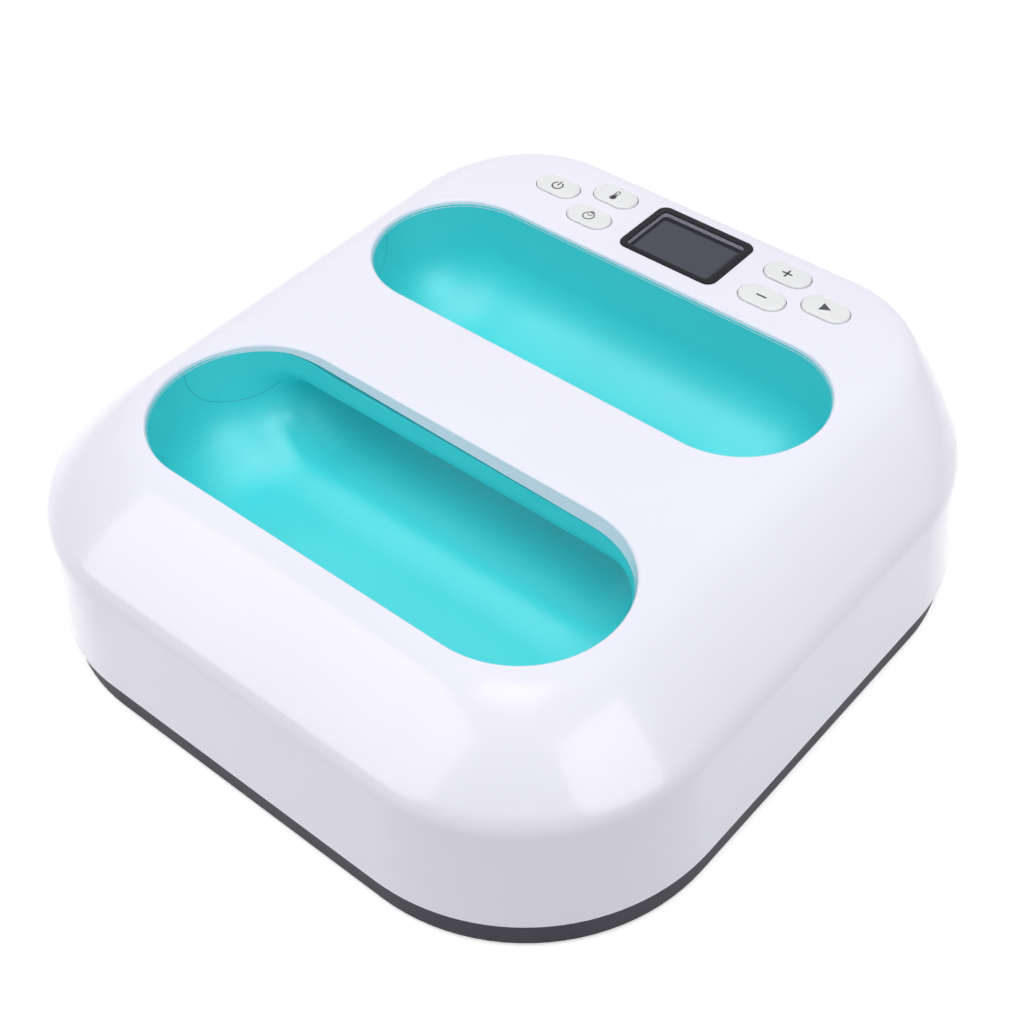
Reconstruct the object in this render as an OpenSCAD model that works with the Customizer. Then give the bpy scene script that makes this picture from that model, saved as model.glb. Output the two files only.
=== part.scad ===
// Handheld heat press: a square moulded housing whose flat top is cut by two
// finger wells, with the grip bridge between them, a control panel behind
// them and a heated pressing plate hung in the dark rim below.
// X runs along the grip, Y runs from the front to the control panel and Z is
// up. The origin is the centre of the pressing face. Sizes are millimetres.

/* [Housing] */
// Width of the housing at its lower edge, left to right
body_w = 286; // [276:1:306]
// Length of the housing at its lower edge, front to back
body_l = 287.5; // [280:1:306]
// Height of the flat top above the pressing face
body_h = 92; // [90:1:102]
// Corner radius of the housing at its lower edge, seen from above
corner_r = 78; // [62:0.5:82]
// Thickness of the moulded walls
wall = 3; // [2.4:0.1:3.6]
// How far the side walls lean in between the lower edge and the crease
wall_lean = 3.4; // [2:0.1:4]
// Height of the crease between the side walls and the sloping shoulders
crease_h = 64; // [58:1:68]

/* [Flat top] */
// Width of the sloping shoulder at each side
shoulder_side = 35.2; // [30:0.2:37]
// Width of the sloping shoulder at the front
shoulder_front = 37.2; // [30:0.2:39]
// Width of the steep shoulder behind the control panel
shoulder_rear = 7.2; // [4:0.2:12]
// Corner radius of the flat top
top_corner_r = 42; // [36:1:56]

/* [Finger wells] */
// Distance from the housing's side edges to the wells' ends
well_set_side = 43.2; // [42:0.1:48]
// Distance from the housing's front edge to the front well
well_set_front = 44.1; // [43.6:0.1:52]
// Distance from the housing's back edge to the rear well
well_set_rear = 57.1; // [55.6:0.1:65]
// Depth of the wells below the flat top
well_depth = 47; // [42:1:50]
// Radius between the walls and the floor of the wells
well_floor_r = 24; // [16:1:27]
// Lean of the well walls, in degrees
well_draft = 6; // [3:0.5:8]
// Depth of the white lip at the wells' ends
lip_depth = 4; // [3.6:0.1:4.8]
// Rounding of the white lip round the wells
lip_r = 2.5; // [1:0.1:2.8]

/* [Grip] */
// Width of the grip bridge between the wells
bridge_w = 45.7; // [40:0.1:50]
// Place of the grip's centre line along the body
bridge_y = -2.6; // [-6:0.1:2]
// Depth of the white skirt along the grip's edges
skirt_depth = 6.6; // [5:0.1:9]
// Depth of the grip's underside below the flat top at mid span
grip_depth = 15; // [13:0.5:17]
// Rise of the arched underside from its ends to mid span
grip_rise = 4.5; // [2:0.5:6]
// How far the passage under the grip stands in from the wells' ends
tunnel_set = 22.8; // [20:0.1:30]
// Corner radius of the passage under the grip
tunnel_r = 13; // [8:1:14]

/* [Rim and plate] */
// Height of the dark rim's lower edge above the pressing face
rim_lift = 1.6; // [1:0.1:3]
// Height of the dark rim
rim_h = 13.4; // [11:0.1:15]
// How far the rim stands in from the housing's lower edge
rim_inset = 2.2; // [1:0.1:4]
// How far the square pressing plate stands in from the housing's lower edge
plate_set = 28.5; // [27:0.1:33]
// Thickness of the pressing plate
plate_t = 8; // [7:0.5:10]
// Gap between the pressing plate and the rim round it
plate_gap = 2; // [1.5:0.5:3]
// Corner radius of the pressing plate
plate_r = 46; // [36:1:52]
// Diameter of the tubular heating element
element_d = 6.5; // [5:0.5:7.5]

/* [Control panel] */
// Distance of the display's centre from the back of the housing
panel_set = 33.2; // [32:0.2:35]
// Width of the display frame
display_w = 45; // [40:0.5:50]
// Length of the display frame, front to back
display_l = 31; // [26:0.5:32]
// Width of the display frame's border
display_border = 3.2; // [2:0.1:4]
// Length of a button
button_l = 19.4; // [15:0.2:20]
// Width of a button
button_w = 11.2; // [8:0.2:12.4]
// Height of a button above the flat top
button_proud = 0.9; // [0.9:0.1:2]
// Travel of a button
button_travel = 0.8; // [0.4:0.1:0.8]
// Distance of the outer buttons from the display's centre
outer_x = 64; // [60:0.5:68]
// Distance of the paired buttons from the display's centre
pair_x = 41.3; // [38:0.1:43]
// Half the spacing of the paired buttons, front to back
pair_y = 8.6; // [7:0.1:9]

/* [Power inlet] */
// Place of the mains inlet along the back of the housing
inlet_x = 36; // [20:1:44]
// Height of the mains inlet's centre
inlet_z = 40; // [36:1:44]
// Width of the inlet's flange
inlet_w = 50; // [48:0.5:54]
// Height of the inlet's flange
inlet_h = 24; // [23:0.5:28]

/* [Hidden] */

$fn = 64;
corner_steps = 18;      // facets in each quarter corner of the housing
shoulder_steps = 7;     // facets from the crease up to the flat top
shoulder_pull = [0.47, 0.69];   // control point of the shoulder's curve
fit = 0.15;             // gap between mouldings that meet
slide = 0.3;            // gap round what moves
over = 1;               // how far a cut runs past the surface it opens
bite = 0.02;            // how far a round runs past the faces that it blends

white = "#EFEEFA";
teal = "#3CC8CE";
dark = "#4C4B57";
steel = "#B9BBBE";
board_green = "#2E6B45";

// Rim and housing levels
rim_top = rim_lift + rim_h;
rim_step = 0.6;
crease_hx = body_w/2 - wall_lean;
crease_hy = body_l/2 - wall_lean;
crease_r = corner_r - wall_lean;

// Wells: each is [centre y, half width]
slot_l = body_w - 2*well_set_side;
front_slot_w = bridge_y - bridge_w/2 + body_l/2 - well_set_front;
rear_slot_w = body_l/2 - well_set_rear - bridge_y - bridge_w/2;
front_well = [bridge_y - bridge_w/2 - front_slot_w/2, front_slot_w/2];
rear_well = [bridge_y + bridge_w/2 + rear_slot_w/2, rear_slot_w/2];
wells = [front_well, rear_well];
well_floor = body_h - well_depth;
tunnel_w = slot_l - 2*tunnel_set;
tunnel_top = body_h - grip_depth;
arch_R = (pow(tunnel_w/2, 2) + grip_rise*grip_rise)/(2*grip_rise);
liner_z0 = tunnel_top - grip_rise - tunnel_r;
liner_half = tunnel_w/2 + wall;
liner_skin = 2.6;

// The white skirt round the wells ends on a shallow arch along X:
// it is skirt_depth deep at the grip and lip_depth deep from the wells' middle on
lens_reach = bridge_w/2 + min(front_slot_w, rear_slot_w)*0.42;
lens_fall = skirt_depth - lip_depth;
lens_R = (pow(lens_reach, 2) - pow(bridge_w/2, 2))/(2*lens_fall);
lens_z0 = body_h - skirt_depth - pow(bridge_w/2, 2)/(2*lens_R);
lip_wall = 2.6;

// Screws: M3 self-tapping into bosses of the mouldings
screw_d = 3;
head_d = 5.6;
head_t = 2.2;
boss_d = 8.4;
pilot_gap = 0.1;
housing_screw_l = 16;
housing_boss_set = 14;      // from the housing's lower edge to the boss axis
housing_boss_at = 58;       // along each side, from its middle
housing_boss_xy = [for (s = [-1, 1], t = [-1, 1]) each [
    [s*(body_w/2 - housing_boss_set), t*housing_boss_at],
    [s*housing_boss_at, t*(body_l/2 - housing_boss_set)]]];

// Ears that hang the wells from the housing
ear_z = body_h - 21;
ear_t = 2.6;
ear_reach = wall + 6.4;
ear_front_x = slot_l*0.23;
ear_xy = concat(
    [for (w = wells, s = [-1, 1]) [s*(slot_l/2 + ear_reach), w[0]]],
    [for (s = [-1, 1]) [s*ear_front_x, front_well[0] - front_well[1] - ear_reach]]);
well_screw_l = 10;
grip_screw_x = tunnel_w*0.3;
grip_screw_l = 8;
grip_arch_z = tunnel_top + sqrt(arch_R*arch_R - grip_screw_x*grip_screw_x) - arch_R;
grip_seat_z = grip_arch_z + head_t + 0.4;       // where the sunk screw heads seat
grip_pad_z = grip_seat_z + 2;                   // top of the pads round the screws

// Plate, insulation and shield stack, from the pressing face up
plate_w = min(body_w, body_l) - 2*plate_set;
plate_half = plate_w/2;
element_r = element_d/2;
insulation_z0 = plate_t + element_r + 0.2;
insulation_t = 12;
shield_t = 1.2;
shield_z0 = insulation_z0 + insulation_t + 0.8;
shield_z1 = shield_z0 + shield_t;
standoff_d = 9;
standoff_xy = [for (s = [-1, 1], t = [-1, 1]) [s*plate_w*0.24, t*plate_w*0.40]];
collar_t = 2.5;
collar_half = plate_half + plate_gap + 1;
collar_r = plate_r + plate_gap + 1;
shield_half = collar_half + collar_t;
shield_ear_set = 5.5;
shield_screw_xy = [[shield_half + shield_ear_set, 0], [-shield_half - shield_ear_set, 0],
    [0, shield_half + shield_ear_set], [0, -shield_half - shield_ear_set]];
shield_screw_l = 9;
plate_screw_d = 4;
plate_screw_l = shield_z1 - plate_t + 4;

// Heating element: four runs along Y joined by half-circle bends
run_x = [-plate_w*0.35, -plate_w*0.13, plate_w*0.13, plate_w*0.35];
run_y0 = -plate_w*0.22;
run_y1 = plate_w*0.22;
riser_r = 9;
riser_top = shield_z1 + 9;

// Sensors on the plate
cutout_xy = [0, -plate_w*0.04];
sensor_xy = [0, plate_w*0.16];
cutout_d = 16;
cutout_t = 9;

// Control panel stack, from the flat top down
panel_y = body_l/2 - panel_set;
top_in = body_h - wall;
flange_t = 1.2;
flange_out = 1.6;
flange_z1 = top_in - 0.1;
stem_d = 4;
stem_z0 = flange_z1 - flange_t - 3.6;
switch_top = stem_z0 - button_travel - 0.1;
switch_body = 6;
switch_h = 3.6;
actuator_h = 0.8;
pcb_t = 1.6;
pcb_z1 = switch_top - actuator_h - switch_h;
pcb_z0 = pcb_z1 - pcb_t;
pcb_margin = 11;            // beyond the outer buttons
pcb_gap = 0.6;              // to the housing's screw bosses
pcb_front = 15;             // from the display's centre to the front edge
pcb_corner = 26;            // side of the square cut from each rear corner
pcb_half = outer_x + button_l/2 + pcb_margin;
pcb_y0 = panel_y - pcb_front;
pcb_y1 = body_l/2 - housing_boss_set - boss_d/2 - pcb_gap;
pcb_hole_set = 4;
board_boss_d = 6.4;
board_screw_l = 7;
pcb_screw_xy = concat(
    [for (s = [-1, 1]) [s*(pcb_half - pcb_hole_set), panel_y]],
    [for (s = [-1, 1]) [s*(outer_x - 2), pcb_y1 - pcb_hole_set + 0.6]]);
window_drop = 2;
window_t = 1.4;
frame_proud = 0.6;
display_r = 4;
lcd_gap = 0.2;

// Buttons: [x, y] of each
power_xy = [-outer_x, panel_y];
start_xy = [outer_x, panel_y];
temperature_xy = [-pair_x, panel_y + pair_y];
timer_xy = [-pair_x, panel_y - pair_y];
plus_xy = [pair_x, panel_y + pair_y];
minus_xy = [pair_x, panel_y - pair_y];
button_xy = [power_xy, temperature_xy, timer_xy, plus_xy, minus_xy, start_xy];

// Power board behind the wells, over the shield
spacer_h = 9;
spacer_d = 6;
power_z0 = shield_z1 + spacer_h;
power_z1 = power_z0 + pcb_t;
power_y1 = shield_half - 2;
power_l = 27;
power_w = 80;
power_y0 = power_y1 - power_l;
power_x1 = 2;
power_x0 = power_x1 - power_w;
power_hole = 4;
spacer_xy = [for (x = [power_x0 + power_hole, power_x1 - power_hole],
    y = [power_y0 + power_hole, power_y1 - power_hole]) [x, y]];
spacer_screw_l = spacer_h + pcb_t;

// Mains inlet: a flanged appliance inlet in a flat pad of the back wall
inlet_face = body_l/2 - 0.3
    - wall_lean*(inlet_z + inlet_h/2 - rim_top)/(crease_h - rim_top);
inlet_flange_t = 2.6;
inlet_body_w = 28;
inlet_body_h = 20;
inlet_body_l = 19;
socket_w = 24.4;
socket_h = 16;
socket_depth = 16;
inlet_hole_x = 20;
inlet_screw_l = 9;

// ---- Helpers -------------------------------------------------------------

function mix(a, b, t) = a + (b - a)*t;

// Quadratic curve of the shoulder: how far in and how far up at t
function curve(t, pull) = 2*t*(1 - t)*pull + t*t;

// Rounded rectangle at height z as a list of points, anticlockwise
function ring(hx, y0, y1, r, z) = [
    for (q = [0:3], i = [0:corner_steps])
        let (a = 90*(q + i/corner_steps),
            cx = (q == 0 || q == 3) ? hx - r : r - hx,
            cy = q < 2 ? y1 - r : y0 + r)
        [cx + r*cos(a), cy + r*sin(a), z]];

// Section of the housing at a share u of the shoulder's width
function housing_ring(u, z, inset) = ring(
    crease_hx - u*shoulder_side - inset,
    -crease_hy + u*shoulder_front + inset,
    crease_hy - u*shoulder_rear - inset,
    mix(crease_r, top_corner_r, u) - inset, z);

// Closed skin over a stack of equal rings
module loft(rings) {
    n = len(rings[0]);
    m = len(rings);
    polyhedron(
        points = [for (r = rings) each r],
        faces = concat(
            [[for (i = [0:n - 1]) i]],
            [[for (i = [n - 1:-1:0]) (m - 1)*n + i]],
            [for (j = [0:m - 2], i = [0:n - 1])
                let (a = j*n + i, b = j*n + (i + 1)%n)
                each [[a, a + n, b + n], [a, b + n, b]]]));
}

// The housing's form, all of it moved in by inset; below drops its lower edge
module housing_form(inset, below = 0) {
    loft(concat(
        [ring(body_w/2 - inset, inset - body_l/2, body_l/2 - inset,
            corner_r - inset, rim_top - below)],
        [for (i = [0:shoulder_steps])
            let (t = i/shoulder_steps,
                v = curve(t, shoulder_pull[1]))
            housing_ring(curve(t, shoulder_pull[0]),
                mix(crease_h, body_h - inset, v), inset)]));
}

// Rounded rectangle with true arcs
module round_rect(w, l, r) {
    square([w - 2*r, l], center = true);
    square([w, l - 2*r], center = true);
    for (s = [-1, 1], t = [-1, 1])
        translate([s*(w/2 - r), t*(l/2 - r)]) circle(r);
}

// Long round-ended outline
module stadium(l, w) {
    square([l - w, w], center = true);
    for (s = [-1, 1]) translate([s*(l - w)/2, 0]) circle(d = w);
}

module plate_shape(half, r, z0, z1) {
    translate([0, 0, z0]) linear_extrude(z1 - z0) round_rect(2*half, 2*half, r);
}

// Half section of a finger well: drafted wall, round corner, flat floor.
// grow thickens it for the outside of the moulding.
module well_half(half, grow) {
    r = well_floor_r + grow;
    c = cos(well_draft);
    s = sin(well_draft);
    top = body_h + over;
    arc_z = well_floor - grow + r;
    rise = body_h - (well_floor + well_floor_r) + well_floor_r*s;
    cx = half - well_floor_r*c - rise*tan(well_draft);
    wall_top = cx + r*c + (top - arc_z + r*s)*tan(well_draft);
    polygon([[0, arc_z - r*s], [cx + r*c, arc_z - r*s], [wall_top, top], [0, top]]);
    translate([0, arc_z - r]) square([cx, r]);
    intersection() {
        translate([cx, arc_z]) circle(r + bite);
        translate([0, arc_z - r]) square([cx + r + over, r]);
    }
}

// A whole finger well: the half section swept along X and turned at its ends
module well_form(well, grow) {
    half = well[1];
    straight = slot_l - 2*half;
    translate([0, well[0], 0]) {
        for (s = [-1, 1])
            translate([s*straight/2, 0, 0]) rotate_extrude() well_half(half, grow);
        rotate([90, 0, 90]) linear_extrude(straight, center = true) {
            well_half(half, grow);
            mirror([1, 0]) well_half(half, grow);
        }
    }
}

// Section across the passage under the grip, with its arched roof
module tunnel_section(grow) {
    h = tunnel_top - well_floor + 2*grow;
    intersection() {
        translate([0, well_floor - grow + h/2])
            round_rect(tunnel_w + 2*grow, h, tunnel_r + grow);
        translate([0, tunnel_top + grow - arch_R]) circle(arch_R, $fn = 256);
    }
}

module tunnel_form(grow) {
    y0 = front_well[0];
    y1 = rear_well[0];
    translate([0, y1, 0]) rotate([90, 0, 0])
        linear_extrude(y1 - y0) tunnel_section(grow);
}

// Everything above the arched lower edge of the white skirt
module skirt_zone(drop) {
    translate([0, bridge_y, lens_z0 - drop + lens_R]) rotate([0, 90, 0])
        cylinder(r = lens_R, h = body_w, center = true, $fn = 256);
}

// Everything above the level lower edge of the white lip
module lip_zone(drop) {
    translate([-body_w/2, -body_l/2, body_h - lip_depth - drop])
        cube([body_w, body_l, body_h]);
}

// Space that the grip liner fills, between the wells and over the passage
module liner_block(grow) {
    translate([-liner_half - grow, front_well[0] - grow, liner_z0 - grow])
        cube([2*(liner_half + grow), rear_well[0] - front_well[0] + 2*grow,
            body_h - liner_z0]);
}

// Cut of a well's opening through the flat top, with a rounded lip
module slot_cut(well) {
    half = well[1];
    straight = slot_l - 2*half;
    translate([0, well[0], body_h]) {
        translate([0, 0, -well_depth]) linear_extrude(well_depth + over)
            stadium(slot_l, 2*half);
        for (s = [-1, 1])
            translate([s*straight/2, 0, 0]) rotate_extrude()
                translate([half, 0]) lip_corner();
        for (m = [0, 1]) mirror([0, m, 0])
            rotate([90, 0, 90]) linear_extrude(straight, center = true)
                translate([half, 0]) lip_corner();
    }
}

// What a rounded edge takes away: a square less a quarter disc
module lip_corner() {
    difference() {
        translate([-over, -lip_r]) square([lip_r + over, lip_r + over]);
        translate([lip_r, -lip_r]) circle(lip_r);
        translate([lip_r, -lip_r]) square(2*lip_r);
    }
}

// White lip wall round a well, trimmed to the skirt's arch
module lip_ring(well) {
    intersection() {
        translate([0, well[0], body_h - skirt_depth - over])
            linear_extrude(skirt_depth + over - wall/2)
                stadium(slot_l + 2*lip_wall, 2*(well[1] + lip_wall));
        union() {
            skirt_zone(0);
            lip_zone(0);
        }
    }
}

// Pan-head screw, head down at the origin, shank up
module screw(l, d = screw_d, hd = head_d, ht = head_t) {
    translate([0, 0, -ht]) difference() {
        union() {
            cylinder(d = hd, h = ht*0.55 + 0.01);
            translate([0, 0, ht*0.45]) cylinder(d = hd, h = ht*0.55);
        }
        translate([0, 0, -0.01]) cylinder(d = d*0.62, h = ht*0.6, $fn = 6);
    }
    cylinder(d = d, h = l);
}

module at_each(places) {
    for (p = places) translate([p[0], p[1], 0]) children();
}

// ---- Mouldings -----------------------------------------------------------

// White top housing
module top_housing() {
    color(white) difference() {
        union() {
            difference() {
                housing_form(0);
                housing_form(wall, over);
            }
            for (w = wells) lip_ring(w);
            intersection() {
                housing_form(wall/2);
                housing_bosses();
            }
        }
        for (w = wells) slot_cut(w);
        at_each(housing_boss_xy) translate([0, 0, rim_top - over])
            cylinder(d = screw_d + pilot_gap, h = housing_screw_l + over);
        at_each(ear_xy) translate([0, 0, ear_z + ear_t - over])
            cylinder(d = screw_d + pilot_gap, h = well_screw_l + over);
        for (s = [-1, 1]) translate([s*grip_screw_x, bridge_y, grip_pad_z - over])
            cylinder(d = screw_d + pilot_gap, h = grip_screw_l);
        at_each(pcb_screw_xy) translate([0, 0, pcb_z1 - over])
            cylinder(d = screw_d + pilot_gap, h = board_screw_l + over);
        at_each(button_xy) translate([0, 0, top_in - over])
            linear_extrude(wall + 2*over)
                stadium(button_l + 2*slide, button_w + 2*slide);
        translate([0, panel_y, top_in - over]) linear_extrude(wall + 2*over)
            round_rect(display_w + 2*fit, display_l + 2*fit, display_r + fit);
        inlet_cut();
    }
}

// Bosses and ribs inside the housing; the shell trims their tops
module housing_bosses() {
    at_each(housing_boss_xy) translate([0, 0, rim_top])
        cylinder(d = boss_d, h = body_h - rim_top);
    for (s = [-1, 1], t = [-1, 1]) {
        translate([s*(body_w/2 - housing_boss_set/2), t*housing_boss_at,
            mix(rim_top, body_h, 0.5)])
            cube([housing_boss_set, 2, body_h - rim_top], center = true);
        translate([s*housing_boss_at, t*(body_l/2 - housing_boss_set/2),
            mix(rim_top, body_h, 0.5)])
            cube([2, housing_boss_set, body_h - rim_top], center = true);
    }
    at_each(ear_xy) translate([0, 0, ear_z + ear_t])
        cylinder(d = boss_d, h = body_h - ear_z);
    for (s = [-1, 1]) translate([s*grip_screw_x, bridge_y, grip_pad_z])
        cylinder(d = boss_d, h = body_h - grip_pad_z);
    for (s = [-1, 0, 1]) translate([s*grip_screw_x, bridge_y, body_h - skirt_depth/2])
        cube([2, bridge_w, skirt_depth - wall], center = true);
    at_each(pcb_screw_xy) translate([0, 0, pcb_z1])
        cylinder(d = board_boss_d, h = body_h - pcb_z1);
    translate([inlet_x, inlet_face - wall/2 - 2, inlet_z])
        cube([inlet_w + 4, wall + 1, inlet_h + 4], center = true);
}

// Flat seat, body hole and screw holes for the mains inlet
module inlet_cut() {
    translate([inlet_x, inlet_face, inlet_z]) {
        translate([0, 10, 0])
            cube([inlet_w + 2*fit, 20, inlet_h + 2*fit], center = true);
        cube([inlet_body_w + 2*fit, 30, inlet_body_h + 2*fit], center = true);
        for (s = [-1, 1]) translate([s*inlet_hole_x, over, 0]) rotate([90, 0, 0])
            cylinder(d = screw_d + pilot_gap, h = inlet_screw_l);
    }
}

// Dark rim that carries the shield and closes the housing from below
module base_rim() {
    rim_half_w = body_w/2 - rim_inset;
    rim_half_l = body_l/2 - rim_inset;
    rim_r = corner_r - rim_inset;
    color(dark) difference() {
        union() {
            translate([0, 0, rim_lift + rim_step]) linear_extrude(rim_h - rim_step - fit)
                round_rect(2*rim_half_w, 2*rim_half_l, rim_r);
            translate([0, 0, rim_lift]) linear_extrude(rim_h - fit)
                round_rect(2*(rim_half_w - rim_step), 2*(rim_half_l - rim_step),
                    rim_r - rim_step);
            plate_shape(collar_half + collar_t, collar_r + collar_t,
                rim_top - over, shield_z0);
            at_each(shield_screw_xy) translate([0, 0, rim_top - over])
                cylinder(d = boss_d, h = shield_z0 - rim_top + over);
        }
        // Opening for the pressing plate
        plate_shape(collar_half, collar_r, rim_lift + 3, shield_z0 + over);
        plate_shape(plate_half + plate_gap, plate_r + plate_gap, rim_lift - over, rim_lift + 4);
        // Underside hollow of the rim
        translate([0, 0, rim_lift + 3]) difference() {
            linear_extrude(rim_h - 3 - wall)
                round_rect(2*(rim_half_w - wall), 2*(rim_half_l - wall), rim_r - wall);
            linear_extrude(rim_h)
                round_rect(2*(collar_half + collar_t), 2*(collar_half + collar_t),
                    collar_r + collar_t);
            at_each(housing_boss_xy) cylinder(d = head_d + 3, h = rim_h);
        }
        at_each(housing_boss_xy) {
            cylinder(d = screw_d + 0.4, h = rim_top + over);
            cylinder(d = head_d + 0.6, h = rim_top - 4);
        }
        at_each(shield_screw_xy) translate([0, 0, shield_z0 - shield_screw_l])
            cylinder(d = screw_d + pilot_gap, h = shield_screw_l + over);
    }
}

// Teal tub: both wells and the floor of the passage between them
module handle_well() {
    color(teal) difference() {
        union() {
            for (w = wells) well_form(w, wall);
            tunnel_form(wall);
            at_each(ear_xy) translate([0, 0, ear_z]) cylinder(r = boss_d/2 + 0.8, h = ear_t);
            ear_webs();
        }
        for (w = wells) well_form(w, 0);
        tunnel_form(0);
        liner_block(fit);
        skirt_zone(fit);
        lip_zone(fit);
        at_each(ear_xy) cylinder(d = screw_d + 0.4, h = body_h);
    }
}

// Webs from the wells' walls to their ears
module ear_webs() {
    for (w = wells, s = [-1, 1])
        translate([s*(slot_l/2 + ear_reach/2 - 1), w[0], ear_z + ear_t/2])
            cube([ear_reach + 2, boss_d + 1.6, ear_t], center = true);
    for (s = [-1, 1])
        translate([s*ear_front_x, front_well[0] - front_well[1] - ear_reach/2 + 1,
            ear_z + ear_t/2])
            cube([boss_d + 1.6, ear_reach + 2, ear_t], center = true);
}

// Teal underside of the grip: an arched channel closed by the white bridge
module grip_liner() {
    color(teal) difference() {
        liner_block(0);
        for (w = wells) well_form(w, 0);
        tunnel_form(0);
        skirt_zone(fit);
        // Channel inside the grip, its floor parallel to the arch
        translate([0, bridge_y + bridge_w/2 - liner_skin, 0]) rotate([90, 0, 0])
            linear_extrude(bridge_w - 2*liner_skin) difference() {
                translate([-tunnel_w/2 + 6, liner_z0])
                    square([tunnel_w - 12, body_h - liner_z0]);
                translate([0, liner_skin]) tunnel_section(0);
                for (s = [-1, 1]) translate([s*grip_screw_x, liner_z0])
                    square([boss_d + 2, 2*(grip_pad_z - liner_z0)], center = true);
            }
        for (s = [-1, 1]) translate([s*grip_screw_x, bridge_y, liner_z0]) {
            cylinder(d = screw_d + 0.4, h = body_h - liner_z0);
            cylinder(d = head_d + 0.6, h = grip_seat_z - liner_z0);
        }
    }
}

// ---- Display and buttons -------------------------------------------------

// Black frame, held from inside by its flange
module display_bezel() {
    open_w = display_w - 2*display_border;
    open_l = display_l - 2*display_border;
    color("#26262A") difference() {
        union() {
            translate([0, panel_y, top_in - fit]) linear_extrude(wall + fit + frame_proud)
                round_rect(display_w, display_l, display_r);
            translate([0, panel_y, top_in - 2.2 - fit]) linear_extrude(2.2)
                round_rect(display_w + 4, display_l + 4, display_r);
        }
        translate([0, panel_y, top_in - 3]) linear_extrude(wall + 6)
            round_rect(open_w, open_l, display_r/2);
        // Seat for the window
        translate([0, panel_y, top_in - 3])
            linear_extrude(body_h + frame_proud - window_drop - top_in + 3)
                round_rect(open_w + 2.4, open_l + 2.4, display_r/2);
    }
}

// Clear window pressed up into the frame's seat
module display_window() {
    z1 = body_h + frame_proud - window_drop - 0.02;
    color("#5A5D68") translate([0, panel_y, z1 - window_t]) linear_extrude(window_t)
        round_rect(display_w - 2*display_border + 2.2, display_l - 2*display_border + 2.2,
            display_r/2);
}

// Liquid crystal glass in its metal frame, standing on the control board
module lcd_module() {
    z1 = body_h + frame_proud - window_drop - window_t - lcd_gap;
    w = display_w - 2*display_border - 1;
    l = display_l - 2*display_border - 1;
    color("#7E8590") translate([0, panel_y, 0]) {
        translate([0, 0, z1 - 2.4]) linear_extrude(2.4) square([w, l], center = true);
        difference() {
            translate([0, 0, pcb_z1]) linear_extrude(z1 - 2.4 - pcb_z1)
                square([w - 2, l - 2], center = true);
            translate([0, 0, pcb_z1 - over]) linear_extrude(z1 - 3.6 - pcb_z1 + over)
                square([w - 5, l - 5], center = true);
        }
    }
}

// Push button: domed cap, flange under the flat top and stem to its switch
module button(place) {
    cap_z1 = body_h + button_proud;
    edge = 0.8;
    color("#ECEEEE") translate([place[0], place[1], 0]) {
        translate([0, 0, flange_z1 - over]) linear_extrude(cap_z1 - edge - flange_z1 + over)
            stadium(button_l, button_w);
        button_crown(cap_z1 - edge, edge);
        translate([0, 0, flange_z1 - flange_t]) linear_extrude(flange_t)
            stadium(button_l + 2*flange_out, button_w + 2*flange_out);
        translate([0, 0, stem_z0]) cylinder(d = stem_d, h = flange_z1 - stem_z0);
    }
}

// Rounded top edge of a button: a quarter round swept about its outline
module button_crown(z, edge) {
    straight = button_l - button_w;
    translate([0, 0, z]) {
        for (s = [-1, 1]) translate([s*straight/2, 0, 0]) rotate_extrude() crown_half(edge);
        rotate([90, 0, 90]) linear_extrude(straight, center = true) {
            crown_half(edge);
            mirror([1, 0]) crown_half(edge);
        }
    }
}

module crown_half(edge) {
    translate([0, -over]) square([button_w/2 - edge, edge + over]);
    translate([0, -over]) square([button_w/2, over]);
    intersection() {
        translate([button_w/2 - edge, 0]) circle(edge);
        square(button_w);
    }
}

module power_button() { button(power_xy); }
module temperature_button() { button(temperature_xy); }
module timer_button() { button(timer_xy); }
module plus_button() { button(plus_xy); }
module minus_button() { button(minus_xy); }
module start_button() { button(start_xy); }

// ---- Electronics ---------------------------------------------------------

// Control board, screwed up against the bosses of the flat top
module control_board() {
    color(board_green) difference() {
        translate([-pcb_half, pcb_y0, pcb_z0]) cube([2*pcb_half, pcb_y1 - pcb_y0, pcb_t]);
        // Cut-off rear corners clear the housing's round corners
        for (s = [-1, 1]) translate([s*pcb_half, pcb_y1, pcb_z0 - over]) rotate(45)
            linear_extrude(pcb_t + 2*over) square(pcb_corner, center = true);
        at_each(pcb_screw_xy) translate([0, 0, pcb_z0 - over])
            cylinder(d = screw_d + 0.4, h = pcb_t + 2*over);
    }
}

// One tactile switch under each button
module tact_switches() {
    color("#2B2B2E") at_each(button_xy) translate([0, 0, pcb_z1]) {
        translate([-switch_body/2, -switch_body/2, 0])
            cube([switch_body, switch_body, switch_h]);
        cylinder(d = 3.4, h = switch_h + actuator_h);
    }
}

// Buzzer beside the display
module buzzer() {
    color("#1F1F21") translate([(display_w/2 + pair_x)/2 - 1, pcb_y0 + 3.6, 0]) difference() {
        translate([0, 0, pcb_z0 - 7]) cylinder(d = 11, h = 7);
        translate([0, 0, pcb_z0 - 7.5]) cylinder(d = 2, h = 2);
    }
}

// Power board on its spacers over the shield
module power_board() {
    color(board_green) difference() {
        translate([power_x0, power_y0, power_z0])
            cube([power_x1 - power_x0, power_y1 - power_y0, pcb_t]);
        at_each(spacer_xy) translate([0, 0, power_z0 - over])
            cylinder(d = screw_d + 0.4, h = pcb_t + 2*over);
    }
}

module relay() {
    color("#23395B") translate([power_x0 + 10, power_y0 + 5.5, power_z1]) difference() {
        cube([19, 15.5, 15.5]);
        translate([9.5, 7.75, 15]) cylinder(d = 2, h = 1);
    }
}

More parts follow.
